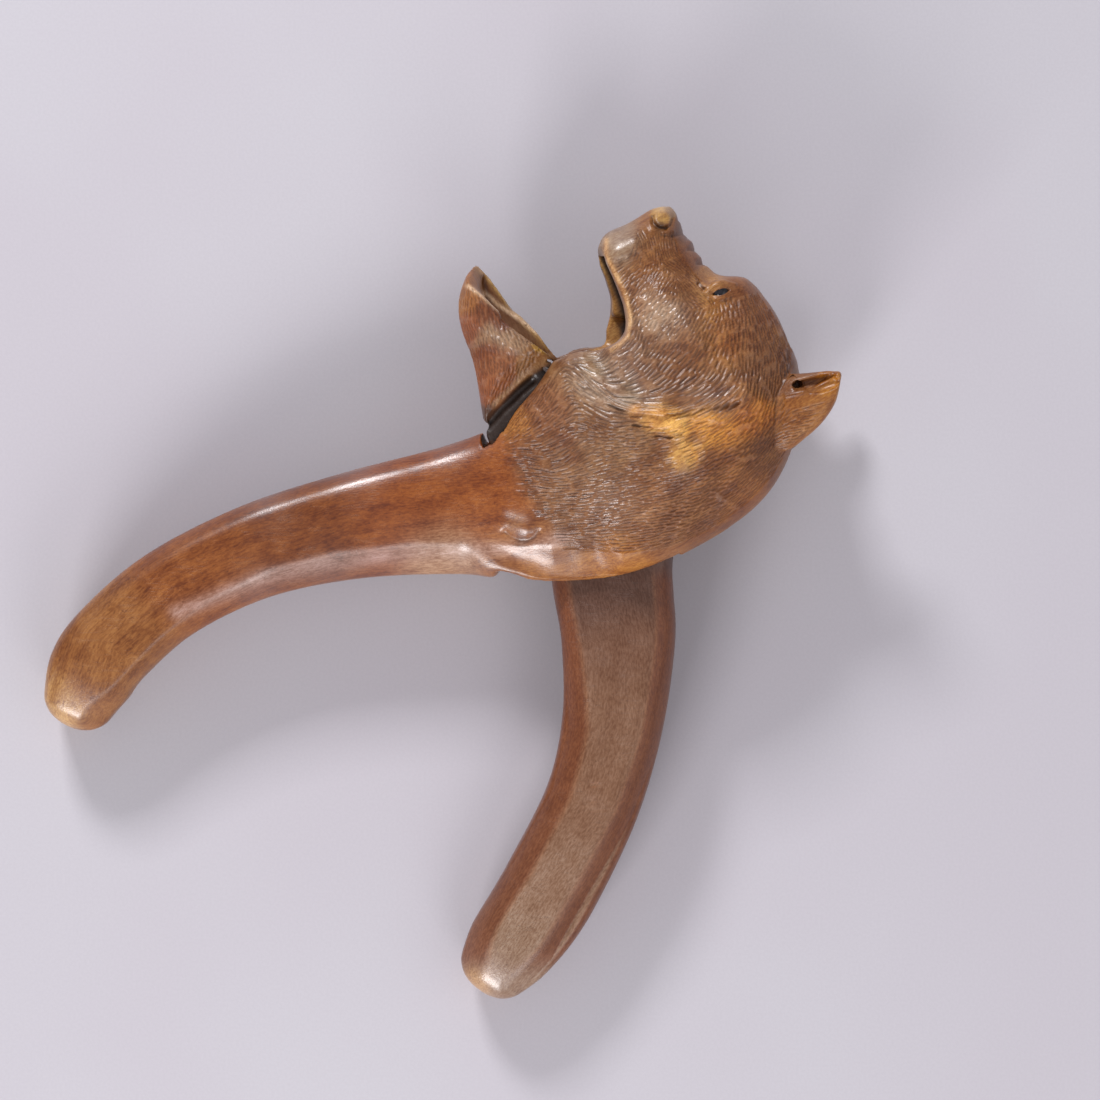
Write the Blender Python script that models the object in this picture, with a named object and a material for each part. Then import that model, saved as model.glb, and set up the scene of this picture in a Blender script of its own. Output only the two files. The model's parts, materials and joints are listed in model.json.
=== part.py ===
"""Carved wooden bear nutcracker: two crossing arms on one pin, with glass eyes. Metres, +Z up.

Each arm is drawn flat first, seen from the bear's left side, with the pivot at the origin and the middle
plane of the head at z = 0. An empty then lays the whole object down on its right cheek and handle ends.
"""

import math

import bmesh
import bpy
import numpy as np
from mathutils import Matrix, Vector
from mathutils.bvhtree import BVHTree

# Head and neck, measured from the pivot
HEAD_RISE = 0.0656
HEAD_REACH = 0.0571
HEAD_WIDTH = 0.0420
NECK_REACH = 0.0257
NECK_DROP = 0.0238

# Handle of the head, from its root on the neck to its end
HANDLE_REACH = 0.1054
HANDLE_DROP = 0.0553
HANDLE_WIDTH = 0.0222
HANDLE_THICKNESS = 0.0212
HANDLE_CROWN = 0.0009
HANDLE_END = 0.0079

# Lever: the jaw and the tongue, measured from the pivot
JAW_RISE = 0.0509
JAW_REACH = 0.0355
JAW_WIDTH = 0.0262
TONGUE_BACK = 0.0180
TONGUE_THICKNESS = 0.0184
LEVER_ROOT_DROP = 0.0293

# Handle of the lever, from its root under the head to its end
LEVER_REACH = 0.0370
LEVER_DROP = 0.0970
LEVER_WIDTH = 0.0232
LEVER_CROWN = 0.0008
LEVER_END = 0.0073

# Pin and joint
PIN_RADIUS = 0.0025
PIN_LENGTH = 0.0330
PIN_NEAR_END = 0.0145
PIN_CLEARANCE = 0.0003
SLOT_CLEARANCE = 0.0004
SWING_CLEARANCE = 0.0005
THROAT_RADIUS = 0.0308
CLOSING_TURN = math.radians(27.5)
OPENING_TURN = math.radians(2.5)
SPARE_TURN = math.radians(1.5)

# Mouth
LIP_GAP = 0.0190
LIP_SPREAD = 0.0280
JAW_HOLLOW_WIDTH = 0.0180
PALATE_RIB = 0.0007
PALATE_RIBS = 4
CORNER_DEPTH = 0.0075
SHOULDER_BEVEL = 0.0042

# Eyes, ears and nose
EYE_RADIUS = 0.0022
EYE_SINK = 0.0012
EYE_CLEARANCE = 0.0003
EAR_SPREAD = 0.0230
EAR_THICKNESS = 0.0070
RIGHT_EAR_DROP = 0.0018
EAR_HOLLOW_RADIUS = 0.0022
EAR_HOLE_RADIUS = 0.0012
NOSTRIL_RADIUS = 0.0012

# Mesh fineness and overruns
RING_PITCH = 0.0029
AROUND = 28
DOME_TURNS = (72.0, 50.0, 26.0)
OVERRUN = 0.0060
HANDLE_SQUARENESS = 3.8

# Outline pairs of the head from the neck to the nose: along and up of the mouth side, along and up of the
# back, half width, squareness of the mouth side, squareness of the back, place of the widest point
HEAD_SHARES = (
    (-1.0, 0.19, -1.0, -1.005, 0.56, 4.0, 5.0, 0.5),
    (-0.83, 0.26, -0.765, -1.02, 0.62, 5.0, 5.4, 0.5),
    (-0.645, 0.335, -0.505, -1.03, 0.71, 5.4, 5.4, 0.5),
    (-0.45, 0.43, -0.13, -1.01, 0.8, 5.4, 5.0, 0.5),
    (-0.225, 0.475, 0.11, -0.945, 0.88, 5.2, 4.4, 0.5),
    (-0.065, 0.49, 0.285, -0.81, 0.94, 5.0, 3.4, 0.5),
    (-0.02, 0.5, 0.435, -0.635, 0.98, 5.0, 2.8, 0.48),
    (-0.02, 0.52, 0.585, -0.4, 1.0, 5.0, 2.5, 0.46),
    (-0.03, 0.535, 0.705, -0.108, 1.0, 5.0, 2.4, 0.45),
    (-0.04, 0.55, 0.782, 0.088, 0.98, 5.0, 2.3, 0.44),
    (-0.04, 0.575, 0.825, 0.23, 0.95, 5.0, 2.2, 0.43),
    (-0.04, 0.605, 0.826, 0.365, 0.9, 5.0, 2.2, 0.42),
    (-0.05, 0.635, 0.777, 0.488, 0.86, 5.0, 2.3, 0.42),
    (-0.06, 0.67, 0.73, 0.586, 0.82, 5.0, 2.4, 0.43),
    (-0.09, 0.7, 0.67, 0.66, 0.78, 5.0, 2.4, 0.44),
    (-0.12, 0.74, 0.588, 0.711, 0.74, 5.0, 2.4, 0.44),
    (-0.13, 0.775, 0.495, 0.723, 0.7, 5.0, 2.4, 0.44),
    (-0.1, 0.805, 0.43, 0.785, 0.67, 4.6, 2.4, 0.44),
    (-0.05, 0.835, 0.388, 0.85, 0.645, 4.2, 2.4, 0.45),
    (-0.02, 0.86, 0.355, 0.895, 0.61, 3.6, 2.4, 0.46),
    (0.008, 0.882, 0.325, 0.93, 0.55, 3.0, 2.3, 0.48),
    (0.05, 0.9, 0.303, 0.955, 0.47, 2.6, 2.2, 0.5),
    (0.12, 0.936, 0.285, 0.975, 0.37, 2.4, 2.2, 0.5),
    (0.19, 0.975, 0.265, 0.99, 0.24, 2.2, 2.2, 0.5),
)

# Middle line of the head's handle from its root: along, down, width and half thickness
HANDLE_SHARES = (
    (0.96, 0.862, 0.82, 0.84),
    (0.9375, 0.767, 0.965, 0.95),
    (0.893, 0.64, 1.0, 1.0),
    (0.755, 0.41, 1.005, 1.0),
    (0.555, 0.22, 1.035, 1.0),
    (0.33, 0.105, 1.16, 1.0),
    (0.11, 0.04, 1.385, 0.94),
)
HANDLE_FLAT_SHARE = 0.14

# Outline pairs of the tongue and the jaw: along and up of the front, along and up of the back, half width,
# squareness at the front and at the back
JAW_SHARES = (
    (-0.365, -0.77, 0.915, -0.69, 0.72, 4.0, 4.0),
    (-0.385, -0.555, 1.0, -0.41, 0.76, 6.0, 6.0),
    (-0.44, -0.37, 1.0, -0.115, 0.8, 9.0, 9.0),
    (-0.525, -0.18, 0.855, 0.11, 0.85, 9.0, 9.0),
    (-0.64, 0.0, 0.545, 0.275, 0.9, 8.0, 8.0),
    (-0.725, 0.1, 0.105, 0.415, 0.96, 6.0, 7.0),
    (-0.775, 0.18, -0.195, 0.51, 1.0, 5.0, 6.0),
    (-0.8, 0.23, -0.3, 0.56, 1.0, 4.2, 6.0),
    (-0.82, 0.31, -0.29, 0.61, 1.0, 3.4, 6.0),
    (-0.845, 0.415, -0.285, 0.685, 1.0, 3.0, 6.0),
    (-0.87, 0.52, -0.335, 0.745, 0.98, 2.8, 5.0),
    (-0.915, 0.615, -0.4, 0.82, 0.96, 2.6, 5.0),
    (-0.955, 0.68, -0.47, 0.885, 0.93, 2.5, 4.6),
    (-0.98, 0.755, -0.54, 0.95, 0.9, 2.4, 4.2),
    (-0.985, 0.825, -0.61, 1.015, 0.86, 2.3, 3.8),
    (-0.965, 0.89, -0.68, 1.07, 0.79, 2.2, 3.4),
    (-0.925, 0.95, -0.74, 1.11, 0.68, 2.2, 3.0),
    (-0.885, 1.0, -0.79, 1.13, 0.52, 2.2, 2.6),
)

# Middle line of the lever's handle from its root: along, down, width and half thickness
LEVER_SHARES = (
    (0.783, 0.923, 0.8, 0.84),
    (0.71, 0.885, 0.92, 0.94),
    (0.545, 0.8, 1.0, 1.0),
    (0.39, 0.7, 1.02, 1.0),
    (0.14, 0.5, 1.0, 1.0),
    (0.01, 0.3, 1.06, 1.0),
    (-0.025, 0.1, 1.19, 1.0),
    (0.0, 0.0, 1.235, 1.0),
)
LEVER_ROOT_SHARE = 0.14

# Edge of the upper lips, on the left side and on the right side, from the front to the corner
LEFT_LIP_SHARES = ((-0.25, 0.855), (-0.03, 0.855), (0.002, 0.835), (0.018, 0.795), (0.045, 0.74),
                   (0.074, 0.68), (0.094, 0.63), (0.102, 0.58), (0.093, 0.54), (0.06, 0.505), (0.015, 0.485),
                   (-0.3, 0.48))
RIGHT_LIP_SHARES = ((-0.35, 0.83), (-0.12, 0.83), (-0.08, 0.81), (-0.06, 0.77), (-0.02, 0.735), (0.003, 0.7),
                    (0.022, 0.65), (0.02, 0.595), (0.005, 0.545), (-0.05, 0.5), (-0.16, 0.48), (-0.4, 0.48))
LIP_BEYOND_SHARE = -0.9

# Roof of the mouth from the front to the throat
PALATE_SHARES = ((0.02, 0.81), (0.1, 0.76), (0.135, 0.69), (0.15, 0.62), (0.15, 0.55), (0.13, 0.48),
                 (0.1, 0.42))
PALATE_BACK_SHARES = ((0.0, 0.4), (-0.5, 0.44), (-0.5, 0.8))

# Edge of the lower lips, on the left side and on the right side, from the tip to the shoulder
LEFT_JAW_LIP_SHARES = ((-1.1, 0.9), (-0.985, 0.905), (-0.9, 0.905), (-0.67, 0.74), (-0.34, 0.575),
                       (-0.2, 0.5))
RIGHT_JAW_LIP_SHARES = ((-1.1, 1.06), (-0.88, 1.04), (-0.83, 0.99), (-0.63, 0.785), (-0.39, 0.6),
                        (-0.28, 0.54))

# Floor of the hollow in the lower jaw, from the tip to the shoulder
JAW_FLOOR_SHARES = ((-0.84, 0.93), (-0.82, 0.84), (-0.73, 0.74), (-0.62, 0.65), (-0.5, 0.57), (-0.38, 0.5),
                    (-0.27, 0.5))

# Ear pairs from the tip to the root: along and up of the front edge, along and up of the back edge, half
# thickness, and how far out from the middle plane
EAR_SHARES = (
    (0.974, 0.396, 0.982, 0.358, 0.6, 1.14),
    (0.95, 0.406, 0.966, 0.285, 0.8, 1.1),
    (0.9, 0.4, 0.908, 0.207, 0.95, 1.05),
    (0.845, 0.395, 0.835, 0.15, 1.05, 1.0),
    (0.78, 0.39, 0.76, 0.105, 1.15, 0.92),
    (0.7, 0.355, 0.66, 0.13, 1.0, 0.75),
)
EAR_END = 0.0012
EAR_HOLLOW_SHARES = (0.89, 0.355)
EAR_HOLLOW_STRETCH = 2.4
EAR_HOLLOW_LEAN = math.radians(6.0)
EAR_HOLE_STRETCH = 1.2
EAR_HOLE_SHARES = (0.81, 0.345)
EYE_SHARES = (0.485, 0.68)
NOSTRIL_SHARES = (0.245, 0.945)

# Forms raised from or pressed into the head: path of places, reach and height as shares of the width
HEAD_FORM_SHARES = (
    (((-0.3, 0.42), (-0.02, 0.33), (0.18, 0.28), (0.4, 0.28), (0.58, 0.33)), 0.085, 0.038),
    (((-0.3, 0.3), (0.1, 0.18), (0.45, 0.17)), 0.075, -0.028),
    (((0.53, 0.74), (0.6, 0.69)), 0.06, 0.03),
    (((0.42, 0.7), (0.5, 0.66)), 0.06, -0.04),
    (((0.05, 0.86), (0.08, 0.82)), 0.075, 0.03),
    (((0.24, 0.95), (0.26, 0.94)), 0.05, 0.02),
    (((0.2, 0.88), (0.34, 0.87)), 0.045, -0.02),
    (((0.2, 0.6), (0.3, 0.5)), 0.11, 0.02),
    (((-0.98, -0.42), (-0.72, -0.52)), 0.055, 0.02),
)


def clear_scene():
    for thing in list(bpy.data.objects):
        bpy.data.objects.remove(thing, do_unlink=True)


def collection(name):
    made = bpy.data.collections.new(name)
    bpy.context.scene.collection.children.link(made)
    return made


def material(name, colour, roughness, metallic=0.0, transmission=0.0):
    made = bpy.data.materials.new(name)
    made.use_nodes = True
    shader = made.node_tree.nodes["Principled BSDF"]
    shader.inputs["Base Color"].default_value = (*colour, 1.0)
    shader.inputs["Roughness"].default_value = roughness
    shader.inputs["Metallic"].default_value = metallic
    shader.inputs["Transmission Weight"].default_value = transmission
    return made


def to_object(name, bm, where, finish=None):
    """The finished mesh as an object, its faces turned outwards and shaded smooth."""
    bmesh.ops.recalc_face_normals(bm, faces=bm.faces)
    mesh = bpy.data.meshes.new(name)
    bm.to_mesh(mesh)
    bm.free()
    made = bpy.data.objects.new(name, mesh)
    where.objects.link(made)
    if finish is None:
        made.hide_render = True
        made.display_type = "WIRE"
    else:
        mesh.materials.append(finish)
        mesh.shade_smooth()
    return made


def head_spot(along_share, up_share):
    """A place on the head, in shares of its reach and rise, or of the neck's before and below the pivot."""
    along = HEAD_REACH if along_share > 0.0 else NECK_REACH
    up = HEAD_RISE if up_share > 0.0 else NECK_DROP
    return Vector((along_share * along, up_share * up))


def jaw_spot(along_share, up_share):
    """A place on the tongue or the jaw, in shares of their sizes from the pivot."""
    along = TONGUE_BACK if along_share > 0.0 else JAW_REACH
    up = JAW_RISE if up_share > 0.0 else LEVER_ROOT_DROP
    return Vector((along_share * along, up_share * up))


def arm_rows(root, reach, drop, shares, width, half):
    """Rows of a loft across a handle whose middle line is given from its root, end first."""
    middle = [root + Vector((-along * reach, -down * drop)) for along, down, _, _ in shares]
    rows = []
    for index, (_, _, width_share, half_share) in enumerate(shares):
        before = middle[max(index - 1, 0)]
        after = middle[min(index + 1, len(middle) - 1)]
        onward = (after - before).normalized()
        side = Vector((-onward.y, onward.x)) * (width * width_share / 2)
        upper, lower = middle[index] + side, middle[index] - side
        rows.append((*upper, *lower, half * half_share, HANDLE_SQUARENESS, HANDLE_SQUARENESS, 0.5, 0.0))
    return rows


def between(rows):
    """The rows with others between them on a smooth curve, about one ring pitch apart."""
    table = np.array(rows)
    ahead = 2 * table[0] - table[1]
    beyond = 2 * table[-1] - table[-2]
    table = np.vstack((ahead, table, beyond))
    smooth = []
    for index in range(1, len(table) - 2):
        p0, p1, p2, p3 = table[index - 1:index + 3]
        longest = max(np.linalg.norm((p2 - p1)[0:2]), np.linalg.norm((p2 - p1)[2:4]))
        steps = max(1, round(longest / RING_PITCH))
        for step in range(steps):
            t = step / steps
            smooth.append(0.5 * (2 * p1 + (p2 - p0) * t + (2 * p0 - 5 * p1 + 4 * p2 - p3) * t**2
                                 + (3 * p1 - p0 - 3 * p2 + p3) * t**3))
    smooth.append(table[-2])
    return smooth


def domed(rows, length):
    """Rows that round off the end before the first row, and the point they close on."""
    first, second = np.array(rows[0]), np.array(rows[1])
    centre = (first[0:2] + first[2:4]) / 2
    outward = centre - (second[0:2] + second[2:4]) / 2
    outward = outward / np.linalg.norm(outward)
    extra = []
    for turn in DOME_TURNS:
        size = math.cos(math.radians(turn))
        shift = outward * length * math.sin(math.radians(turn))
        row = first.copy()
        for start in (0, 2):
            row[start:start + 2] = centre + (first[start:start + 2] - centre) * size + shift
        row[4] = first[4] * size
        extra.append(row)
    return extra + list(rows), centre + outward * length


def ring(row):
    """Points round one section: a rounded box whose squareness differs between its two ends."""
    upper, lower = Vector(row[0:2]), Vector(row[2:4])
    half, upper_square, lower_square, widest, middle = row[4:9]
    points = []
    for index in range(AROUND):
        turn = math.tau * index / AROUND
        across, out = math.cos(turn), math.sin(turn)
        power = 2 / (upper_square if across > 0 else lower_square)
        lean = math.copysign(abs(across) ** power, across)
        share = widest - lean * (widest if lean > 0 else 1 - widest)
        place = upper.lerp(lower, share)
        points.append((place.x, place.y, middle + half * math.copysign(abs(out) ** power, out)))
    return points


def loft(rows, first_tip):
    """A closed skin through the rings of the rows, with a rounded first end and a flat last one."""
    bm = bmesh.new()
    rings = [[bm.verts.new(point) for point in ring(row)] for row in rows]
    last_tip = (rows[-1][0:2] + rows[-1][2:4]) / 2
    for before, after in zip(rings, rings[1:]):
        for index in range(AROUND):
            near, far = before[index - 1], before[index]
            bm.faces.new((near, far, after[index], after[index - 1]))
    for edge, tip, middle in ((rings[0], first_tip, rows[0][8]), (rings[-1], last_tip, rows[-1][8])):
        point = bm.verts.new((*tip, middle))
        for index in range(AROUND):
            bm.faces.new((edge[index - 1], edge[index], point))
    return bm


def gap_to_path(place, path):
    """The distance from a place to the nearest point of a path."""
    nearest = (place - path[0]).length
    for start, end in zip(path, path[1:]):
        run = end - start
        share = min(1.0, max(0.0, (place - start).dot(run) / run.length_squared))
        nearest = min(nearest, (place - start - run * share).length)
    return nearest


def swell(bm, path, reach, height):
    """Raises the skin along a path on both sides, or lowers it where the height is negative."""
    bm.normal_update()
    moves = []
    for vertex in bm.verts:
        fade = math.exp(-(gap_to_path(vertex.co.xy, path) / reach) ** 2)
        moves.append(vertex.normal * height * fade)
    for vertex, move in zip(bm.verts, moves):
        vertex.co += move


def slab(name, outline, low, high, where):
    """A closed solid between two heights with the same outline."""
    return ruled(name, outline, outline, low, high, where)


def ruled(name, low_outline, high_outline, low, high, where):
    """A closed solid between two outlines of as many points, one at each height."""
    bm = bmesh.new()
    bottom = [bm.verts.new((place[0], place[1], low)) for place in low_outline]
    top = [bm.verts.new((place[0], place[1], high)) for place in high_outline]
    bm.faces.new(bottom[::-1])
    bm.faces.new(top)
    for index in range(len(bottom)):
        bm.faces.new((bottom[index - 1], bottom[index], top[index], top[index - 1]))
    return to_object(name, bm, where)


def ball(name, centre, radius, where, finish=None, stretch=1.0, lean=0.0):
    """A ball, or an egg when stretched along the direction it leans in."""
    bm = bmesh.new()
    bmesh.ops.create_uvsphere(bm, u_segments=16, v_segments=10, radius=radius)
    lying = Matrix.Rotation(lean, 4, "Z") @ Matrix.Diagonal((stretch, 1, 1, 1))
    bm.transform(Matrix.Translation(centre) @ lying)
    return to_object(name, bm, where, finish)


def turned(name, low_radius, high_radius, low, high, where, finish=None):
    """A round bar or a cone on the pivot's axis."""
    bm = bmesh.new()
    bmesh.ops.create_cone(bm, cap_ends=True, segments=48, radius1=low_radius, radius2=high_radius,
                          depth=high - low)
    bm.transform(Matrix.Translation((0.0, 0.0, (low + high) / 2)))
    return to_object(name, bm, where, finish)


def combine(target, tool, operation="DIFFERENCE"):
    """The exact solver loses the skin of either arm after a few cuts, so the cuts use the manifold one."""
    change = target.modifiers.new(tool.name, "BOOLEAN")
    change.object = tool
    change.operation = operation
    change.solver = "MANIFOLD"


def skin_reader(bm):
    """A function that gives the height of the skin over a place."""
    tree = BVHTree.FromBMesh(bm)
    return lambda place: tree.ray_cast((place.x, place.y, HEAD_WIDTH), (0.0, 0.0, -1.0))[0].z


def extended(left, right, spread, half):
    """Two outlines given one spread apart, carried on in straight lines to a greater half width."""
    outlines = []
    for side in (-1.0, 1.0):
        share = 0.5 + side * half / spread
        outlines.append([far.lerp(near, share) for near, far in zip(left, right)])
    return outlines


def tongue_radii(outline):
    """How far the tongue reaches from the pivot at each whole degree, read from its closed outline."""
    radii = np.zeros(360)
    for degree in range(360):
        ray = Vector((math.cos(math.radians(degree)), math.sin(math.radians(degree))))
        for start, end in zip(outline, outline[1:] + outline[:1]):
            run = end - start
            cross = ray.x * run.y - ray.y * run.x
            if abs(cross) < 1e-12:
                continue
            along = (start.x * run.y - start.y * run.x) / cross
            share = (start.x * ray.y - start.y * ray.x) / cross
            if along > 0.0 and 0.0 <= share <= 1.0:
                radii[degree] = max(radii[degree], along)
    return radii


def swept_outline(outline, closing, opening):
    """The outline that the tongue covers as it swings both ways about the pivot, with its clearance."""
    radii = tongue_radii(outline)
    first, last = math.ceil(math.degrees(closing)), math.ceil(math.degrees(opening))
    swept = np.max([np.roll(radii, turn) for turn in range(-first, last + 1)], axis=0) + SWING_CLEARANCE
    return [Vector((math.cos(math.radians(degree)), math.sin(math.radians(degree)))) * swept[degree]
            for degree in range(0, 360, 3)]


def lever_rows():
    root = jaw_spot(LEVER_ROOT_SHARE, -1.0)
    half = TONGUE_THICKNESS / 2 + LEVER_CROWN / 2
    handle = arm_rows(root, LEVER_REACH, LEVER_DROP, LEVER_SHARES, LEVER_WIDTH, half)
    jaw = [(*jaw_spot(*row[0:2]), *jaw_spot(*row[2:4]), row[4] * JAW_WIDTH / 2, row[5], row[6], 0.5, 0.0)
           for row in JAW_SHARES]
    return handle + jaw


def wood_lever(parts, cutters, finish):
    bm = loft(*domed(between(lever_rows()), LEVER_END))
    lever = to_object("jaw_and_handle", bm, parts, finish)

    left = [jaw_spot(*share) for share in LEFT_JAW_LIP_SHARES]
    right = [jaw_spot(*share) for share in RIGHT_JAW_LIP_SHARES]
    reach = JAW_WIDTH / 2 + OVERRUN
    low, high = extended(left, right, LIP_SPREAD, reach)
    lift = Vector((JAW_RISE / 2, JAW_RISE))
    for outline in (low, high):
        outline.extend((outline[-1] + lift, outline[0] + lift))
    combine(lever, ruled("lower_lip_edge", low, high, -reach, reach, cutters))

    outline = [jaw_spot(*share) for share in JAW_FLOOR_SHARES]
    outline.extend((outline[-1] + lift, outline[0] + lift))
    half = JAW_HOLLOW_WIDTH / 2
    combine(lever, slab("lower_jaw_hollow", outline, -half, half, cutters))

    flat = TONGUE_THICKNESS / 2
    shoulder = THROAT_RADIUS + SWING_CLEARANCE
    wide = shoulder + SHOULDER_BEVEL + OVERRUN
    deep = flat + SHOULDER_BEVEL + OVERRUN
    reach = LEVER_ROOT_DROP + LEVER_DROP + OVERRUN
    corners = ((-reach, -reach), (reach, -reach), (reach, 0.0), (-reach, 0.0))
    for side, name in ((1.0, "left"), (-1.0, "right")):
        ends = sorted((side * flat, side * deep))
        radii = (shoulder, wide) if side > 0 else (wide, shoulder)
        combine(lever, turned(name + "_shoulder", *radii, *ends, cutters))
        combine(lever, slab(name + "_lever_side", corners, *ends, cutters))
    bore = PIN_RADIUS + PIN_CLEARANCE
    combine(lever, turned("lever_bore", bore, bore, -HEAD_WIDTH, HEAD_WIDTH, cutters))
    return lever


def head_rows():
    root_up, root_down = head_spot(*HEAD_SHARES[0][0:2]), head_spot(*HEAD_SHARES[0][2:4])
    root = (root_up + root_down) / 2
    half = (HANDLE_THICKNESS + HANDLE_CROWN) / 2
    handle = arm_rows(root, HANDLE_REACH, HANDLE_DROP, HANDLE_SHARES, HANDLE_WIDTH, half)
    head = [(*head_spot(*row[0:2]), *head_spot(*row[2:4]), row[4] * HEAD_WIDTH / 2, *row[5:8], 0.0)
            for row in HEAD_SHARES]
    return handle + head


def wood_head(parts, cutters, finish):
    bm = loft(*domed(between(head_rows()), HANDLE_END))
    for path, reach, height in HEAD_FORM_SHARES:
        swell(bm, [head_spot(*share) for share in path], reach * HEAD_WIDTH, height * HEAD_WIDTH)
    skin = skin_reader(bm)
    eye, nostril = head_spot(*EYE_SHARES), head_spot(*NOSTRIL_SHARES)
    eye = Vector((*eye, skin(eye) - EYE_SINK))
    nostril = Vector((*nostril, skin(nostril)))
    head = to_object("head_and_handle", bm, parts, finish)
    slot(head, cutters)
    mouth(head, cutters)
    for side, name, drop in ((1.0, "left", 0.0), (-1.0, "right", RIGHT_EAR_DROP)):
        ear(head, side, name, drop, cutters)
    for side, name in ((1.0, "left"), (-1.0, "right")):
        pits(head, side, name, eye, nostril, cutters)
        flat = side * HANDLE_THICKNESS / 2
        ends = sorted((flat, flat + side * OVERRUN))
        reach = NECK_REACH + HANDLE_REACH + OVERRUN
        root = -NECK_REACH - HANDLE_REACH * HANDLE_FLAT_SHARE
        corners = ((-reach, -reach), (root, -reach), (root, reach), (-reach, reach))
        combine(head, slab(name + "_handle_side", corners, *ends, cutters))
    return head, eye


def ear(head, side, name, drop, cutters):
    """One ear: a flat leaf that stands out behind the crown, hollowed on its outer face."""
    middle = side * EAR_SPREAD / 2
    lower = Vector((0.0, -drop))
    rows = [(*(head_spot(*row[0:2]) + lower), *(head_spot(*row[2:4]) + lower), row[4] * EAR_THICKNESS / 2,
             2.4, 2.4, 0.5, row[5] * middle) for row in EAR_SHARES]
    bm = loft(*domed(between(rows), EAR_END))
    combine(head, to_object(name + "_ear", bm, cutters), "UNION")
    outer = middle + side * EAR_THICKNESS / 2
    hollow = (*(head_spot(*EAR_HOLLOW_SHARES) + lower), outer)
    combine(head, ball(name + "_ear_hollow", hollow, EAR_HOLLOW_RADIUS, cutters, stretch=EAR_HOLLOW_STRETCH,
                       lean=EAR_HOLLOW_LEAN))
    hole = (*(head_spot(*EAR_HOLE_SHARES) + lower), outer - side * EAR_HOLE_RADIUS)
    combine(head, ball(name + "_ear_hole", hole, EAR_HOLE_RADIUS, cutters, stretch=EAR_HOLE_STRETCH))


def mouth(head, cutters):
    left = [head_spot(*share) for share in LEFT_LIP_SHARES]
    right = [head_spot(*share) for share in RIGHT_LIP_SHARES]
    reach = HEAD_WIDTH / 2 + OVERRUN
    low, high = extended(left, right, LIP_SPREAD, reach)
    beyond = LIP_BEYOND_SHARE * NECK_REACH
    for outline in (low, high):
        outline.extend((Vector((beyond, outline[-1].y)), Vector((beyond, outline[0].y))))
    combine(head, ruled("upper_lip_edge", low, high, -reach, reach, cutters))

    roof = between([(*head_spot(*share), *head_spot(*share)) for share in PALATE_SHARES])
    outline = []
    for index, row in enumerate(roof):
        wave = abs(math.sin(math.pi * PALATE_RIBS * index / (len(roof) - 1)))
        outline.append(Vector((row[0] + PALATE_RIB * wave, row[1])))
    outline += [head_spot(*share) for share in PALATE_BACK_SHARES]
    combine(head, slab("palate", outline, -LIP_GAP / 2, LIP_GAP / 2, cutters))

    corner = jaw_spot(*JAW_SHARES[7][2:4])
    last = math.atan2(corner.y, corner.x) + OPENING_TURN + SPARE_TURN
    first = math.atan2(corner.y, corner.x) - CLOSING_TURN - SPARE_TURN
    turns = [first + (last - first) * step / 16 for step in range(17)]
    inner, outer = THROAT_RADIUS, THROAT_RADIUS + CORNER_DEPTH
    outline = [Vector((math.cos(turn), math.sin(turn))) * inner for turn in turns]
    outline += [Vector((math.cos(turn), math.sin(turn))) * outer for turn in reversed(turns)]
    half = JAW_WIDTH / 2 + SWING_CLEARANCE
    combine(head, slab("mouth_corner", outline, -half, half, cutters))


def slot(head, cutters):
    """The slot is what the tongue sweeps from one end of its swing to the other."""
    front = [jaw_spot(*row[0:2]) for row in JAW_SHARES[:8]]
    back = [jaw_spot(*row[2:4]) for row in JAW_SHARES[:8]]
    root = [(Vector(row[0:2]), Vector(row[2:4])) for row in lever_rows()[4:8]]
    outline = [pair[0] for pair in root] + front + back[::-1] + [pair[1] for pair in root[::-1]]
    swept = swept_outline(outline, CLOSING_TURN, OPENING_TURN)
    half = TONGUE_THICKNESS / 2 + SLOT_CLEARANCE
    combine(head, slab("slot", swept, -half, half, cutters))
    bore = PIN_RADIUS + PIN_CLEARANCE
    combine(head, turned("head_bore", bore, bore, -HEAD_WIDTH, PIN_NEAR_END + PIN_CLEARANCE, cutters))


def pits(head, side, name, eye, nostril, cutters):
    """Eye socket and nostril of one side."""
    socket = (eye.x, eye.y, side * eye.z)
    combine(head, ball(name + "_eye_socket", socket, EYE_RADIUS + EYE_CLEARANCE, cutters))
    hole = (nostril.x, nostril.y, side * nostril.z)
    combine(head, ball(name + "_nostril", hole, NOSTRIL_RADIUS, cutters))


def evaluated_points(objects):
    graph = bpy.context.evaluated_depsgraph_get()
    points = []
    for thing in objects:
        shape = thing.evaluated_get(graph)
        mesh = shape.to_mesh()
        points.extend(thing.matrix_world @ vertex.co for vertex in mesh.vertices)
        shape.to_mesh_clear()
    return points


def resting_direction(points):
    """The way that faces the table when the object lies on its right: the hull facet under its middle."""
    bm = bmesh.new()
    for point in points:
        bm.verts.new(point)
    hull = bmesh.ops.convex_hull(bm, input=bm.verts)
    middle = sum(points, Vector()) / len(points)
    faces = [thing for thing in hull["geom"] if isinstance(thing, bmesh.types.BMFace)]
    best = None
    for face in faces:
        face.normal_update()
        outward = face.normal.copy()
        if outward.dot(face.calc_center_median() - middle) < 0.0:
            outward.negate()
        if outward.z > -0.9:
            continue
        under = middle - Vector((0.0, 0.0, (middle - face.verts[0].co).dot(outward) / outward.z))
        corners = [vertex.co.xy for vertex in face.verts]
        turns = [(b - a).cross(under.xy - a) for a, b in zip(corners, corners[1:] + corners[:1])]
        if all(turn >= 0.0 for turn in turns) or all(turn <= 0.0 for turn in turns):
            best = outward
    bm.free()
    return best


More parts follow.
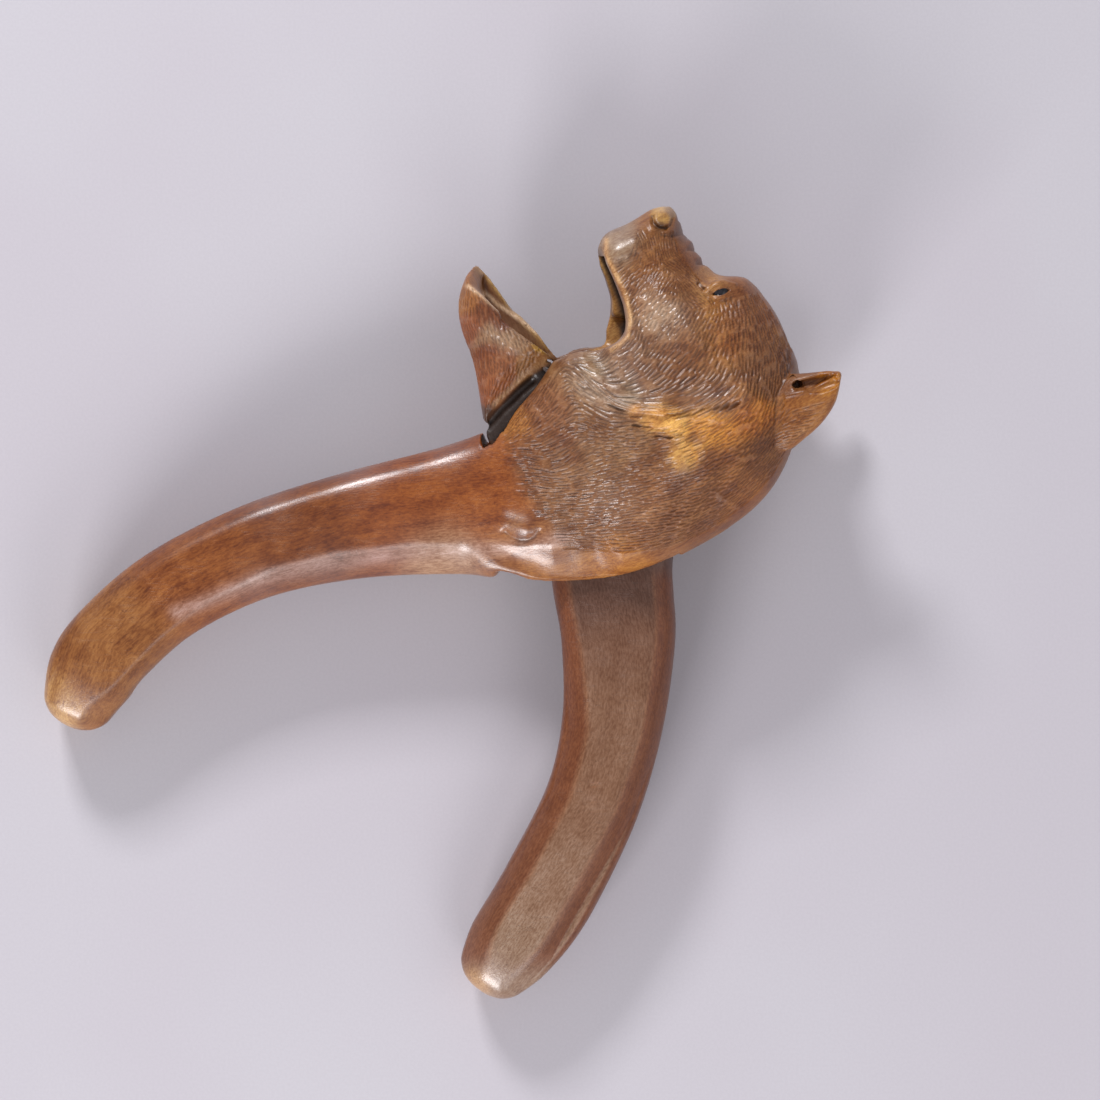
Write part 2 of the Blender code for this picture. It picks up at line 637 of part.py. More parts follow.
def build():
    clear_scene()
    parts = collection("bear_nutcracker")
    cutters = collection("cutters")
    walnut = material("carved_walnut", (0.19, 0.085, 0.036), 0.42)
    dark_walnut = material("lever_walnut", (0.16, 0.08, 0.045), 0.44)
    brass = material("pin_brass", (0.62, 0.42, 0.18), 0.32, metallic=1.0)
    glass = material("eye_glass", (0.01, 0.01, 0.012), 0.05)

    head, eye = wood_head(parts, cutters, walnut)
    lever = wood_lever(parts, cutters, dark_walnut)
    pin = turned("pivot_pin", PIN_RADIUS, PIN_RADIUS, PIN_NEAR_END - PIN_LENGTH, PIN_NEAR_END, parts, brass)
    eyes = [ball(name, (eye.x, eye.y, side * eye.z), EYE_RADIUS, parts, glass)
            for side, name in ((1.0, "eye_left"), (-1.0, "eye_right"))]

    laid = bpy.data.objects.new("laid_on_side", None)
    pivot = bpy.data.objects.new("jaw_pivot", None)
    for empty in (laid, pivot):
        parts.objects.link(empty)
    pivot.parent = laid
    for thing in [head, pin, *eyes, *cutters.objects]:
        thing.parent = laid
    lever.parent = pivot
    bpy.context.view_layer.update()

    solids = [head, lever, pin, *eyes]
    down = resting_direction(evaluated_points(solids))
    laid.rotation_mode = "QUATERNION"
    laid.rotation_quaternion = (-down).rotation_difference(Vector((0.0, 0.0, 1.0)))
    bpy.context.view_layer.update()
    points = evaluated_points(solids)
    low = Vector(min(point[axis] for point in points) for axis in range(3))
    high = Vector(max(point[axis] for point in points) for axis in range(3))
    laid.location = (-(low.x + high.x) / 2, -(low.y + high.y) / 2, -low.z)
    bpy.context.view_layer.update()


build()
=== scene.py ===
"""Looks of the carved bear nutcracker: fur cut into the wood, waxed walnut, glass eyes, floor and light.

The carving is worked out in the flat frame of the part: the pivot at the origin, the bear's left side up, in
millimetres. Places on it are given in pixels of the photograph, for the left side, and the right side is cut
as its mirror image.
"""

import json
import math

import bmesh
import bpy
import numpy as np
from mathutils import Matrix, Vector


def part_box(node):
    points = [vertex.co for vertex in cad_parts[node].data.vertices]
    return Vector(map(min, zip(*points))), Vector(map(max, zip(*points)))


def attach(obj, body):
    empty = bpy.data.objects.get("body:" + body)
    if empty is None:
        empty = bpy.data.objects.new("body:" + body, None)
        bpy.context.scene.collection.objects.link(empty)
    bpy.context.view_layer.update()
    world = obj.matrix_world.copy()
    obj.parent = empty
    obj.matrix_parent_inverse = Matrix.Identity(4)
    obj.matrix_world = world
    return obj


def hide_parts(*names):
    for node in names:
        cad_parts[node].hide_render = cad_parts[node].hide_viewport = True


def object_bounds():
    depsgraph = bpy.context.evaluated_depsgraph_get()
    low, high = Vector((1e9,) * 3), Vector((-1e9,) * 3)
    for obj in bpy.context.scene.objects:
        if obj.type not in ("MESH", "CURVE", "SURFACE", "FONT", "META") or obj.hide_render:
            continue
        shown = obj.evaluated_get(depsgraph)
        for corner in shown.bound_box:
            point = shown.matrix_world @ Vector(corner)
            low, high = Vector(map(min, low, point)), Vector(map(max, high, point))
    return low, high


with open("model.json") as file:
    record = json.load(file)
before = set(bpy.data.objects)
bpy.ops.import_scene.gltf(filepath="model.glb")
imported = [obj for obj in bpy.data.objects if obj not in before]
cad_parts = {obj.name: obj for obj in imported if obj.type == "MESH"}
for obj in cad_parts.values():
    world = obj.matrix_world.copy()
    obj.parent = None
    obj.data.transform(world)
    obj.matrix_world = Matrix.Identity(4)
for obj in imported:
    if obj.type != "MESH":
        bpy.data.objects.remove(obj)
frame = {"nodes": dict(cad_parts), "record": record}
cad_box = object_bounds()

# Photograph and camera
IMAGE_SIZE = 1100
IMAGE_MIDDLE = 550.0
PIXEL = 0.00024
PIVOT_PX = (604.0, 478.0)
CAMERA_HEIGHT = 0.9
MM = 0.001

# Fineness of the skins in millimetres; softenings: rounds, and how sharp an edge has to be to be kept;
# and how far a face may lean to the middle plane and still count as the outside
HEAD_VOXEL = 0.38
LEVER_VOXEL = 0.5
SOFTENINGS = ((26, 0.02, 0.06), (26, 0.01, 0.035))
LEAST_WEIGHT = 0.004
OUTWARD = (-0.3, -0.08)

# Slot, wall, tongue and handles, in millimetres from the middle plane or from the axis of the pin
FLANK_RISE = (1.0, 9.0)
THROAT_REACH = 32.5
THROAT_HALF = 10.4
WALL_FLOOR = 11.2
WALL_REACH = 43.0
WALL_FADE = 9.0
TONGUE_EDGE = (31.5, 33.0)
TONGUE_FLANK = (9.3, 9.8)
HANDLE_RISE = (32.0, 62.0)

# Gouge strokes: search and steps in millimetres, pitches and tapers in their own lengths and widths;
# spreads are shares of the length, depth and spacing of the fur there
SEED = 7
GUIDE_CORE = 30.0
GUIDE_POWER = 1.6
CELL = 1.0
TRACE_STEP = 0.5
TRACE_REACH = 0.7
TRACE_TURN = 0.3
SHUFFLE_PX = 0.8
STROKE_PITCH = 0.8
ROW_PITCH = 0.93
STROKE_SWAY = 0.07
TAPER_IN = 0.22
TAPER_OUT = 0.3
LENGTH_SPREAD = (0.85, 1.25)
DEPTH_SPREAD = (0.75, 1.25)
HALF_SPREAD = (0.58, 0.70)

# Flow of the fur on the head: place, degrees up from the right, length and spacing in pixels, depth in mm
HEAD_FUR = (
    (645, 237, 100, 13, 2.3, 0.19), (655, 250, 92, 14, 2.3, 0.19), (668, 245, 85, 13, 2.3, 0.17),
    (645, 255, 112, 11, 2.3, 0.17), (634, 262, 35, 11, 2.3, 0.16), (675, 262, -25, 13, 2.3, 0.16),
    (655, 278, 60, 9, 2.3, 0.19), (670, 283, 62, 9, 2.3, 0.19), (684, 284, -50, 14, 2.3, 0.19),
    (700, 298, -35, 14, 2.7, 0.17), (665, 300, 50, 9, 3, 0.27), (680, 318, 50, 11, 3.3, 0.31),
    (650, 312, 60, 11, 3, 0.22), (645, 335, 75, 11, 3, 0.19), (660, 345, 55, 13, 3.3, 0.27),
    (690, 335, 50, 14, 3.3, 0.31), (710, 320, 60, 11, 3.3, 0.24), (700, 350, 58, 14, 3.4, 0.31),
    (730, 312, 95, 11, 3, 0.22), (750, 305, 100, 11, 3, 0.22), (735, 335, 85, 13, 3.3, 0.26),
    (760, 335, 100, 13, 3.3, 0.26), (775, 345, 105, 13, 3, 0.26), (745, 360, 85, 13, 3.3, 0.27),
    (775, 375, 75, 13, 3, 0.27), (760, 385, 65, 13, 3.3, 0.29), (720, 370, 65, 14, 3.4, 0.31),
    (790, 350, 110, 11, 3, 0.2), (660, 365, 50, 13, 3.3, 0.31), (635, 362, 45, 13, 3.3, 0.31),
    (612, 360, 30, 13, 3.3, 0.29), (620, 372, 25, 14, 3.3, 0.34), (645, 382, 35, 16, 3.4, 0.34),
    (680, 380, 45, 16, 3.4, 0.34), (705, 385, 48, 16, 3.4, 0.34), (590, 375, -35, 22, 3.8, 0.45),
    (605, 388, -24, 30, 4.4, 0.56), (625, 397, -14, 34, 4.6, 0.6), (650, 402, 4, 34, 4.6, 0.6),
    (680, 398, 22, 30, 4.4, 0.56), (705, 399, 36, 28, 4.8, 0.56), (730, 400, 45, 29, 5.6, 0.6),
    (752, 395, 55, 21, 4.2, 0.42), (580, 395, -34, 20, 3.8, 0.42), (600, 408, -22, 24, 4, 0.42),
    (552, 392, 58, 13, 3, 0.31), (566, 405, 45, 13, 3, 0.31), (525, 412, 50, 11, 3, 0.27),
    (545, 440, 30, 12, 2.7, 0.26), (590, 425, -12, 13, 2.7, 0.26), (575, 450, 35, 13, 2.7, 0.26),
    (610, 445, 5, 13, 2.7, 0.26), (640, 440, 5, 14, 2.7, 0.26), (600, 470, 18, 13, 2.7, 0.26),
    (640, 470, 8, 14, 2.7, 0.26), (670, 470, 12, 14, 2.7, 0.26), (535, 455, -8, 22, 2.7, 0.34),
    (540, 480, -5, 24, 2.7, 0.37), (560, 500, 5, 22, 2.7, 0.34), (575, 520, 2, 22, 2.7, 0.34),
    (585, 540, 0, 22, 2.7, 0.31), (610, 500, 12, 14, 2.7, 0.27), (620, 525, 8, 17, 2.7, 0.29),
    (650, 500, 10, 14, 2.7, 0.27), (660, 520, 5, 16, 2.7, 0.29), (690, 500, 15, 13, 2.7, 0.27),
    (700, 480, 22, 13, 2.7, 0.26), (710, 455, 25, 13, 2.7, 0.26), (730, 430, 30, 14, 2.7, 0.26),
    (750, 415, 45, 16, 3.4, 0.27), (770, 410, 65, 14, 3.4, 0.27), (740, 480, 30, 13, 2.7, 0.2),
    (720, 510, 18, 13, 2.7, 0.2), (700, 425, 22, 14, 2.7, 0.24), (660, 425, 5, 13, 2.7, 0.17),
    (640, 410, -3, 14, 3.4, 0.17), (805, 418, 12, 13, 2.3, 0.17), (800, 432, 15, 11, 2.3, 0.16),
)

# Edge of the fur on the head, and bare spots inside it with their reach
HEAD_FUR_EDGE = (
    (600, 350), (626, 344), (636, 325), (634, 305), (625, 285), (620, 262), (634, 250), (640, 232),
    (654, 236), (672, 234), (684, 262), (696, 276), (716, 304), (736, 298), (756, 292), (775, 318),
    (790, 344), (788, 372), (778, 396), (790, 412), (818, 404), (812, 430), (790, 442), (776, 470),
    (752, 498), (716, 526), (672, 546), (620, 552), (574, 550), (562, 534), (560, 520), (544, 514),
    (543, 500), (528, 497), (528, 482), (522, 470), (513, 458), (508, 440), (512, 420), (530, 396),
    (556, 370), (580, 358),
)
HEAD_BARE = (
    ((656, 419), (680, 424), 8), ((652, 416), (622, 407), 4), ((678, 452), (684, 466), 9),
    ((600, 384), (640, 397), 4), ((584, 364), (602, 372), 3.5),
    ((702, 286), (722, 292), 9), ((797, 384), (812, 380), 12), ((740, 428), (752, 422), 4),
)

# Forms on the head: path in pixels, reach in pixels, height in mm
HEAD_FORMS = (
    (((619, 254), (634, 246)), 10, 0.95),
    (((606, 258), (616, 268), (622, 280)), 3, -0.15),
    (((612, 240), (622, 231), (634, 226)), 3, -0.25),
    (((660, 218), (664, 216)), 6.5, 0.75),
    (((648, 220), (652, 230), (662, 234), (673, 232)), 2.6, 0.35),
    (((670, 208), (676, 218)), 3, 0.3),
    (((689, 230), (697, 248), (706, 263)), 10, -0.8),
    (((700, 245), (690, 243)), 3.5, 0.4),
    (((708, 259), (697, 258)), 3, 0.3),
    (((712, 269), (704, 268)), 3, 0.35),
    (((640, 236), (652, 250), (662, 268), (672, 284)), 9, 0.45),
    (((622, 262), (634, 276), (645, 290)), 7, -0.4),
    (((708, 292), (714, 286), (723, 283), (734, 286)), 2.2, 0.5),
    (((709, 299), (719, 300), (731, 296)), 2.2, 0.35),
    (((716, 280), (728, 277), (744, 281)), 5, 0.3),
    (((738, 290), (744, 304), (744, 320)), 7, 0.3),
    (((658, 292), (676, 313), (698, 340)), 11, 1.25),
    (((634, 296), (641, 322), (652, 350)), 7, -0.65),
    (((690, 300), (705, 330), (722, 352)), 10, -0.45),
    (((664, 354), (700, 374)), 8, -0.5),
    (((740, 352), (768, 372)), 9, -0.3),
    (((582, 366), (602, 384), (630, 399), (662, 404), (700, 397), (742, 390)), 9.5, 1.15),
    (((584, 388), (604, 405), (632, 414), (662, 417), (700, 410), (738, 404)), 4.5, -0.8),
    (((700, 410), (730, 410), (756, 402)), 8, 0.55),
    (((600, 420), (640, 444), (700, 440)), 12, 0.3),
    (((797, 360), (794, 352)), 6, 0.3),
    (((801, 384), (816, 381), (832, 376)), 3.4, -1),
    (((786, 396), (800, 393), (816, 388), (830, 381), (838, 375)), 2.4, 0.4),
    (((508, 521), (518, 524), (528, 527)), 10, 1.25),
    (((490, 572), (498, 573), (508, 574)), 6, 0.5),
    (((520, 470), (528, 492), (544, 512), (560, 528)), 8, 0.3),
)

# Creases, cut after the fur, in the same form
HEAD_CREASES = (
    (((652, 216), (653, 222), (658, 227), (666, 228)), 1.9, -0.85),
    (((666, 228), (671, 225), (673, 219)), 1.5, -0.5),
    (((678, 212), (680, 220)), 1.6, -0.4), (((687, 233), (674, 236), (662, 236)), 2, -0.25),
    (((700, 251), (688, 250)), 1.5, -0.25), (((708, 264), (698, 264)), 1.5, -0.25),
    (((699, 283), (704, 289)), 2, -0.85),
    (((657, 436), (669, 438), (681, 435)), 1.8, -0.6), (((634, 425), (641, 427), (649, 426)), 1.6, -0.4),
    (((791, 366), (787, 376)), 2, -0.35), (((806, 388), (816, 384), (827, 376)), 1.1, -0.35),
    (((505, 533), (511, 538), (519, 541), (527, 541), (535, 537), (539, 532)), 3.4, -0.5),
)

# Bevels of the long edges: path, reach in pixels, depth in mm; and a bank: path, far and near side, depth
HEAD_BEVELS = (
    (((480, 432), (420, 451), (330, 474), (250, 501), (180, 536), (120, 581), (75, 631), (50, 678)),
     16, 0.7),
)
HEAD_BANK = (((590, 570), (556, 579), (500, 579), (415, 577), (340, 585), (280, 600), (225, 628), (180, 665),
              (140, 708), (112, 730)), 37, 8, 3.3)
LEVER_BEVELS = (
    (((556, 575), (566, 660), (568, 730), (552, 790), (515, 860), (475, 920), (461, 965)), 30, 2.8),
    (((674, 575), (673, 660), (661, 740), (631, 820), (591, 890), (551, 960), (521, 992)), 24, 2.4),
)

# Edges that are rounded: path, reach in pixels, rounds of smoothing
HEAD_ROUNDED = (
    (((478, 574), (497, 573), (516, 577)), 9, 40),
    (((603, 244), (607, 257), (616, 279), (623, 296), (627, 318), (624, 333), (612, 347)), 3, 22),
    (((836, 370), (842, 374), (842, 386)), 4, 16),
    (((655, 207), (672, 205), (676, 216)), 3.5, 24),
    (((661, 214), (662, 219)), 5, 40),
    (((600, 300), (612, 325), (604, 345)), 12, 30),
)
FORMS_ROUNDED = (
    (((464, 544), (469, 553), (478, 563), (490, 571)), 8, 60),
    (((482, 573), (496, 574), (508, 575)), 10, 60),
    (((660, 218), (664, 216)), 5, 60),
)
KNOB_ROUNDED = ((((504, 536), (519, 540), (537, 536)), 6, 5),)

# Places with a finer mesh: the knob at the root of the handle and the face
KNOB_FINE_PATH = ((510, 520), (560, 545))
KNOB_FINE_REACH = 22
KNOB_FINE_FROM = 500
FACE_FINE_FROM = 600
FACE_FINE_TO = 470

# Waves of the neck, in pixels and mm, and holes: middle, half width and half height in pixels, depth in mm
WAVE_PATH = ((560, 500), (600, 480), (690, 480))
WAVE_REACH = 62.0
WAVE_PITCH = 33.0
WAVE_HEIGHT = 0.22
WAVE_SWAY = 5.0
WAVE_SWAY_PITCH = 16.0
WAVE_MIDDLE = 480.0
WAVE_LEAN = 0.25
HEAD_HOLES = ((797.0, 384.0, 4.6, 3.6, 2.2),)

# Slit of the eye in pixels, its depth and the lid's thickness in millimetres, and the reach of the lids
EYE_PX = (721.0, 292.0)
SLIT_HALF_LENGTH = 9.5
SLIT_HALF_HEIGHT = 2.2
SLIT_LEAN = math.radians(16.0)
SLIT_DEPTH = 1.8
LID_THICKNESS = 0.42
LID_REACH = 12.0

# Lever: flow of the fur on the jaw, its edge, its forms, and its undercut
JAW_FUR = (
    (466, 300, 88, 13, 3.1, 0.16), (470, 325, 92, 13, 3.1, 0.2), (490, 318, 100, 12, 3.2, 0.22),
    (480, 345, 96, 13, 3.1, 0.24), (500, 338, 106, 13, 3.2, 0.3), (515, 345, 104, 11, 3.2, 0.28),
    (535, 352, 110, 9, 3.2, 0.22), (485, 362, 92, 14, 3.1, 0.24), (505, 362, 92, 13, 3.1, 0.26),
    (495, 385, 88, 12, 3.1, 0.2), (491, 402, 75, 10, 3.1, 0.16), (525, 362, 80, 8, 3.2, 0.12),
)
JAW_FUR_EDGE = (
    (456, 288), (466, 284), (482, 299), (500, 316), (520, 331), (542, 347), (532, 364), (514, 383),
    (498, 402), (490, 412), (482, 395), (474, 365), (464, 335), (456, 305),
)
JAW_FORMS = (
    (((470, 290), (490, 304), (515, 324), (550, 352)), 3, 0.35),
    (((478, 304), (500, 322), (530, 345)), 4, -0.3),
    (((474, 322), (492, 330), (514, 346)), 5, 0.45),
    (((474, 348), (496, 356), (520, 358)), 3.5, -0.3),
    (((484, 368), (504, 372)), 5, 0.25),
    (((490, 414), (520, 388), (548, 362)), 3, 0.35),
    (((590, 784), (600, 786)), 1.6, -0.3),
    (((586, 801), (594, 800)), 2, -0.22),
    (((592, 806), (598, 806)), 1.6, 0.15),
)

# Tones of the wood: place and reach in pixels, colour as it looks on a screen; the spots marked below are
# painted light and shade
HEAD_TONES_AND_PAINTED_LIGHT = (
    # (48, 690) and (62, 712) at the end of the handle: end-grain colour with a painted highlight
    (48, 690, 14, (182, 138, 92)), (62, 712, 12, (190, 150, 108)), (110, 650, 45, (148, 98, 58)),
    (200, 570, 45, (140, 82, 40)), (300, 530, 50, (126, 70, 29)), (400, 505, 45, (140, 76, 30)),
    # (440, 558): painted highlight along the lower edge of the handle
    (480, 490, 35, (144, 80, 32)), (440, 558, 25, (178, 142, 128)), (520, 562, 26, (158, 104, 62)),
    (620, 564, 20, (176, 118, 60)), (540, 470, 20, (138, 94, 68)), (600, 460, 40, (142, 104, 78)),
    (590, 500, 30, (140, 96, 70)), (650, 500, 35, (152, 104, 72)), (700, 500, 30, (134, 86, 50)),
    (745, 485, 28, (146, 92, 48)), (770, 460, 22, (124, 78, 44)), (655, 418, 9, (240, 186, 112)),
    (672, 423, 10, (246, 194, 112)), (635, 411, 5, (216, 158, 92)), (681, 460, 9, (240, 192, 116)),
    (690, 453, 8, (248, 196, 118)), (704, 424, 13, (220, 156, 74)), (726, 426, 14, (204, 138, 60)),
    # (612, 384) and (596, 368), and (628, 391) below: painted highlights on the crest of the ruff
    (748, 420, 13, (196, 124, 50)), (612, 384, 18, (174, 150, 144)), (596, 368, 8, (184, 164, 156)),
    (628, 391, 9, (196, 178, 172)), (664, 438, 6, (150, 104, 76)), (696, 438, 6, (156, 108, 62)),
    # (522, 542): painted shade in the crease under the knob
    (566, 440, 10, (108, 58, 36)), (514, 523, 6, (154, 108, 80)), (522, 542, 4, (104, 68, 48)),
    (575, 458, 8, (112, 62, 40)), (590, 440, 12, (130, 92, 74)), (640, 365, 26, (140, 102, 82)),
    (690, 350, 30, (146, 100, 68)), (722, 345, 16, (166, 108, 52)), (716, 312, 12, (172, 118, 62)),
    (750, 320, 24, (142, 94, 64)), (770, 360, 20, (132, 88, 60)), (700, 385, 24, (140, 94, 60)),
    # (664, 322) and (650, 300): painted highlight along the cheek ridge
    (736, 400, 12, (176, 124, 82)), (664, 322, 14, (192, 168, 162)), (650, 300, 8, (174, 144, 132)),
    (640, 300, 12, (150, 108, 84)), (670, 280, 16, (148, 100, 62)), (655, 250, 18, (144, 96, 58)),
    # (625, 243): painted highlight on the lip pad
    (688, 252, 14, (130, 80, 44)), (676, 238, 8, (112, 72, 44)), (625, 243, 12, (154, 130, 120)),
    # (662, 215): painted highlight on top of the nose, and (660, 227): painted shade under it
    (662, 215, 5, (196, 156, 96)), (660, 227, 4, (84, 56, 38)), (670, 210, 4, (150, 116, 78)),
    (806, 425, 16, (160, 108, 62)), (838, 382, 9, (182, 126, 58)), (790, 440, 12, (140, 90, 50)),
    (704, 282, 10, (172, 126, 84)), (552, 420, 16, (140, 92, 66)), (518, 425, 10, (168, 112, 58)),
)
LEVER_TONES_AND_PAINTED_LIGHT = (
    # (612, 590): painted shadow of the head on the top of the lever
    (612, 590, 36, (92, 66, 64)), (620, 650, 34, (120, 88, 80)), (618, 720, 45, (132, 100, 90)),
    (600, 800, 45, (136, 104, 94)), (560, 880, 45, (146, 118, 112)), (510, 950, 40, (150, 126, 122)),
    (474, 984, 12, (196, 156, 120)), (464, 300, 10, (160, 108, 68)), (470, 326, 9, (146, 88, 62)),
    # (488, 336) and (512, 343): painted glints on the face of the jaw
    (482, 312, 7, (122, 72, 48)), (500, 322, 6, (128, 78, 54)), (488, 336, 8, (160, 130, 116)),
    (512, 343, 8, (166, 136, 122)), (488, 349, 6, (132, 74, 42)), (508, 354, 6, (136, 84, 56)),
    (500, 364, 9, (142, 88, 60)), (488, 392, 10, (146, 86, 54)), (530, 364, 8, (140, 100, 66)),
    # (486, 415): painted shade at the jaw's lower tip, beside the gap
    (541, 345, 4, (176, 140, 62)), (486, 415, 7, (84, 56, 44)),
)
TONE_LEVEL = np.array((0.88, 0.78, 0.52))
FAR_SHARE = 1e-9

# Grain of the two arms: the path that it follows
HANDLE_GRAIN = ((80, 715), (108, 645), (170, 585), (250, 546), (350, 516), (450, 505), (540, 495), (640, 455),
                (740, 400), (850, 330))
LEVER_GRAIN = ((478, 985), (530, 900), (592, 810), (622, 720), (626, 640), (610, 560), (580, 470), (530, 370),
               (470, 270))

# Tones of walls, rims, edges, worn lines and a painted highlight band: colour, and the share of it that
# shows; path and reach in pixels; the walls, edges, tongue and undercut tones are painted shade
# Walls that face the middle plane: painted shade in the slot and the mouth
INNER_SHADE_TONE = (104, 62, 32)
INNER_SHADE_SHARE = 0.8
RIM_SHARE = 0.85
# Sides of the lever turned from its flat faces: painted shade
EDGE_SHADE_TONE = (112, 58, 24)
EDGE_SHADE_SHARE = 0.85
WEAR_TONE = (170, 108, 58)
WEAR_SHARE = 0.16
# A pale band along the lower edge of the handle: a painted highlight
PAINTED_HIGHLIGHT_BAND = (((177, 612), (265, 577), (340, 562), (415, 551), (480, 551), (530, 549), (562, 538)), 8.0,
             (196, 168, 158))
PAINTED_HIGHLIGHT_BAND_SHARE = 0.35
# Inside the mouth: the wood's colour on the far wall, and a painted shadow along the near rim
MOUTH_TONE_AND_SHADOW = (
    (((596, 262), (606, 290), (610, 315), (604, 345)), 18.0, (186, 138, 76)),
    (((600, 246), (612, 276), (621, 300), (626, 320), (624, 340)), 6.5, (44, 26, 16)),
)
HEAD_RIM = (((606, 240), (606, 256), (617, 276), (626, 294), (630, 318), (628, 336), (612, 350)), 2.6,
            (206, 160, 108))
JAW_RIM = (((468, 286), (480, 294), (496, 308), (515, 321), (552, 351)), 2.2, (224, 188, 150))
JAW_FAR_LIP = (((474, 262), (484, 276), (505, 305), (524, 326), (546, 348)), 3.6, (222, 180, 104))
JAW_BEVEL = (((494, 405), (512, 387), (532, 370), (551, 355)), 3.2, (160, 120, 80))
# The undercut beside the jaw, also painted near black as the shadow in the gap
JAW_UNDERCUT_AND_SHADOW = (((487, 426), (500, 411), (518, 393), (532, 381)), 4.4, (40, 26, 20))
JAW_UNDERCUT_DEPTH = 1.5
JAW_TO_PX = 440
# The tongue, in the slot: painted shade
TONGUE_SHADE_TONE = (44, 30, 22)
TONGUE_SHADE_REACH = (29.6, 30.8)
HANDLE_FROM_PX = (560.0, 585.0)
HANDLE_TO_PX = (950.0, 985.0)
FLAT_FACING = (0.90, 0.992)
WORN_MIDDLE = 0.35
WORN_HALF = 0.22

# Where hands and rubbing have left a shine: place and reach in pixels
SHINE = (
    (612, 384, 26), (640, 396, 16), (588, 376, 16), (622, 242, 14), (672, 320, 26), (655, 305, 16),
    (664, 212, 9), (518, 522, 16), (540, 548, 26), (480, 552, 40), (400, 552, 40), (330, 566, 36),
    (260, 585, 30), (720, 400, 18), (625, 352, 18), (680, 470, 14), (500, 338, 14), (450, 458, 22),
    (360, 482, 28), (270, 512, 24), (70, 700, 30), (490, 975, 30), (690, 400, 16), (610, 500, 26),
)

# Wood: how much the mottling darkens red, green and blue; tints of scratches, of the uncut ridges (wear and
# painted highlight), of painted shade in cuts and of specks; and scratches: scale, lean, stretch
MOTTLE_POWERS = (0.9, 1.3, 1.7)
SCRATCH_TINT = (0.50, 0.30, 0.15, 1.0)
RIDGE_WEAR_AND_HIGHLIGHT_TINT = (0.40, 0.22, 0.11, 1.0)
CUT_SHADE_TINT = (0.022, 0.009, 0.005, 1.0)
SPECK_TINT = (0.03, 0.012, 0.006, 1.0)
SCRATCHES = ((300.0, 0.6, 0.16), (420.0, -0.6, 0.2), (380.0, 1.9, 0.16))

# Floor, room light and lamps: place, target, size, power in watts, colour
FLOOR_HALF = 3.0
ROOM_COLOUR = (0.97, 0.94, 1.0, 1.0)
ROOM_LEVEL = 0.34
LAMPS = (
    ("lamp_above", (-0.34, 0.92, 0.58), (0.0, 0.02, 0.02), (0.24, 0.20), 9.6, (1.0, 0.98, 1.0)),
    ("window_right", (0.95, -0.30, 0.80), (0.0, 0.0, 0.02), (1.00, 1.00), 2.0, (1.0, 0.97, 0.99)),
    ("lamp_below_left", (-0.45, -0.90, 0.48), (0.0, 0.0, 0.02), (0.40, 0.30), 8.0, (1.0, 0.97, 0.98)),
    ("lamp_below_right", (0.34, -0.95, 0.62), (0.0, 0.0, 0.02), (0.55, 0.35), 3.2, (1.0, 0.97, 0.98)),
)

# Frame of the joint
joint = frame["record"]["behaviour"]["joints"][0]
PIVOT = np.array(joint["pos_m"])
TURN = np.array(Vector((0.0, 0.0, 1.0)).rotation_difference(Vector(joint["axis"])).to_matrix())
CAMERA_SPOT = Vector((PIVOT[0] - (PIVOT_PX[0] - IMAGE_MIDDLE) * PIXEL,
                      PIVOT[1] + (PIVOT_PX[1] - IMAGE_MIDDLE) * PIXEL, PIVOT[2] + CAMERA_HEIGHT))


# Frames and pictures

def to_flat(points):
    return (points - PIVOT) @ TURN / MM


def to_world(points):
    return points * MM @ TURN.T + PIVOT


def photo_places(points):
    """Where points of the flat frame are in the photograph, read on the left side for both sides."""
    upper = points.copy()
    upper[:, 2] = np.abs(upper[:, 2])
    world = to_world(upper)
    scale = CAMERA_HEIGHT / (CAMERA_SPOT.z - world[:, 2]) / PIXEL
    return np.column_stack((IMAGE_MIDDLE + (world[:, 0] - CAMERA_SPOT.x) * scale,
                            IMAGE_MIDDLE - (world[:, 1] - CAMERA_SPOT.y) * scale))


def placed(name, data):
    """A new object in the scene."""
    made = bpy.data.objects.new(name, data)
    bpy.context.scene.collection.objects.link(made)
    return made


def linear(screen):
    """A colour as it looks on a screen, in the linear values that a shader takes."""
    share = np.array(screen) / 255.0
    return np.where(share <= 0.04045, share / 12.92, ((share + 0.055) / 1.055) ** 2.4)


def blend(tone, screen, share):
    return tone + (linear(screen) - tone) * share[:, None]


def step(value, low, high):
    """0 below the low value and 1 above the high one, with a smooth rise between."""
    share = np.clip((value - low) / (high - low), 0.0, 1.0)
    return share * share * (3.0 - 2.0 * share)


def path_gap(places, path):
    """Distance of each place to the nearest point of a path."""
    path = np.array(path, dtype=float)
    nearest = np.full(len(places), np.inf)
    for start, end in zip(path, path[1:]):
        run = end - start
        share = np.clip((places - start) @ run / (run @ run), 0.0, 1.0)
        nearest = np.minimum(nearest, np.hypot(*(places - start - share[:, None] * run).T))
    return nearest


def near_path(places, path, reach, power=2):
    """1 on a path, fading to 0 beyond its reach."""
    return np.exp(-(path_gap(places, path) / reach) ** power)


def spot_gap(places, x, y, wide, high=None):
    """Squared distance of each place from a spot, in half widths and half heights of that spot."""
    return (((places - (x, y)) / (wide, high or wide)) ** 2).sum(axis=1)


def inside(places, edge):
    """Which places lie inside a closed edge."""
    edge = np.array(edge, dtype=float)
    result = np.zeros(len(places), dtype=bool)
    for (ax, ay), (bx, by) in zip(edge, np.roll(edge, -1, axis=0)):
        crosses = (ay > places[:, 1]) != (by > places[:, 1])
        if ay != by:
            result ^= crosses & (places[:, 0] < (bx - ax) * (places[:, 1] - ay) / (by - ay) + ax)
    return result


# Skins

def neighbour_sums(ends, starts, data):
    return np.bincount(ends, data[starts], len(data)) + np.bincount(starts, data[ends], len(data))


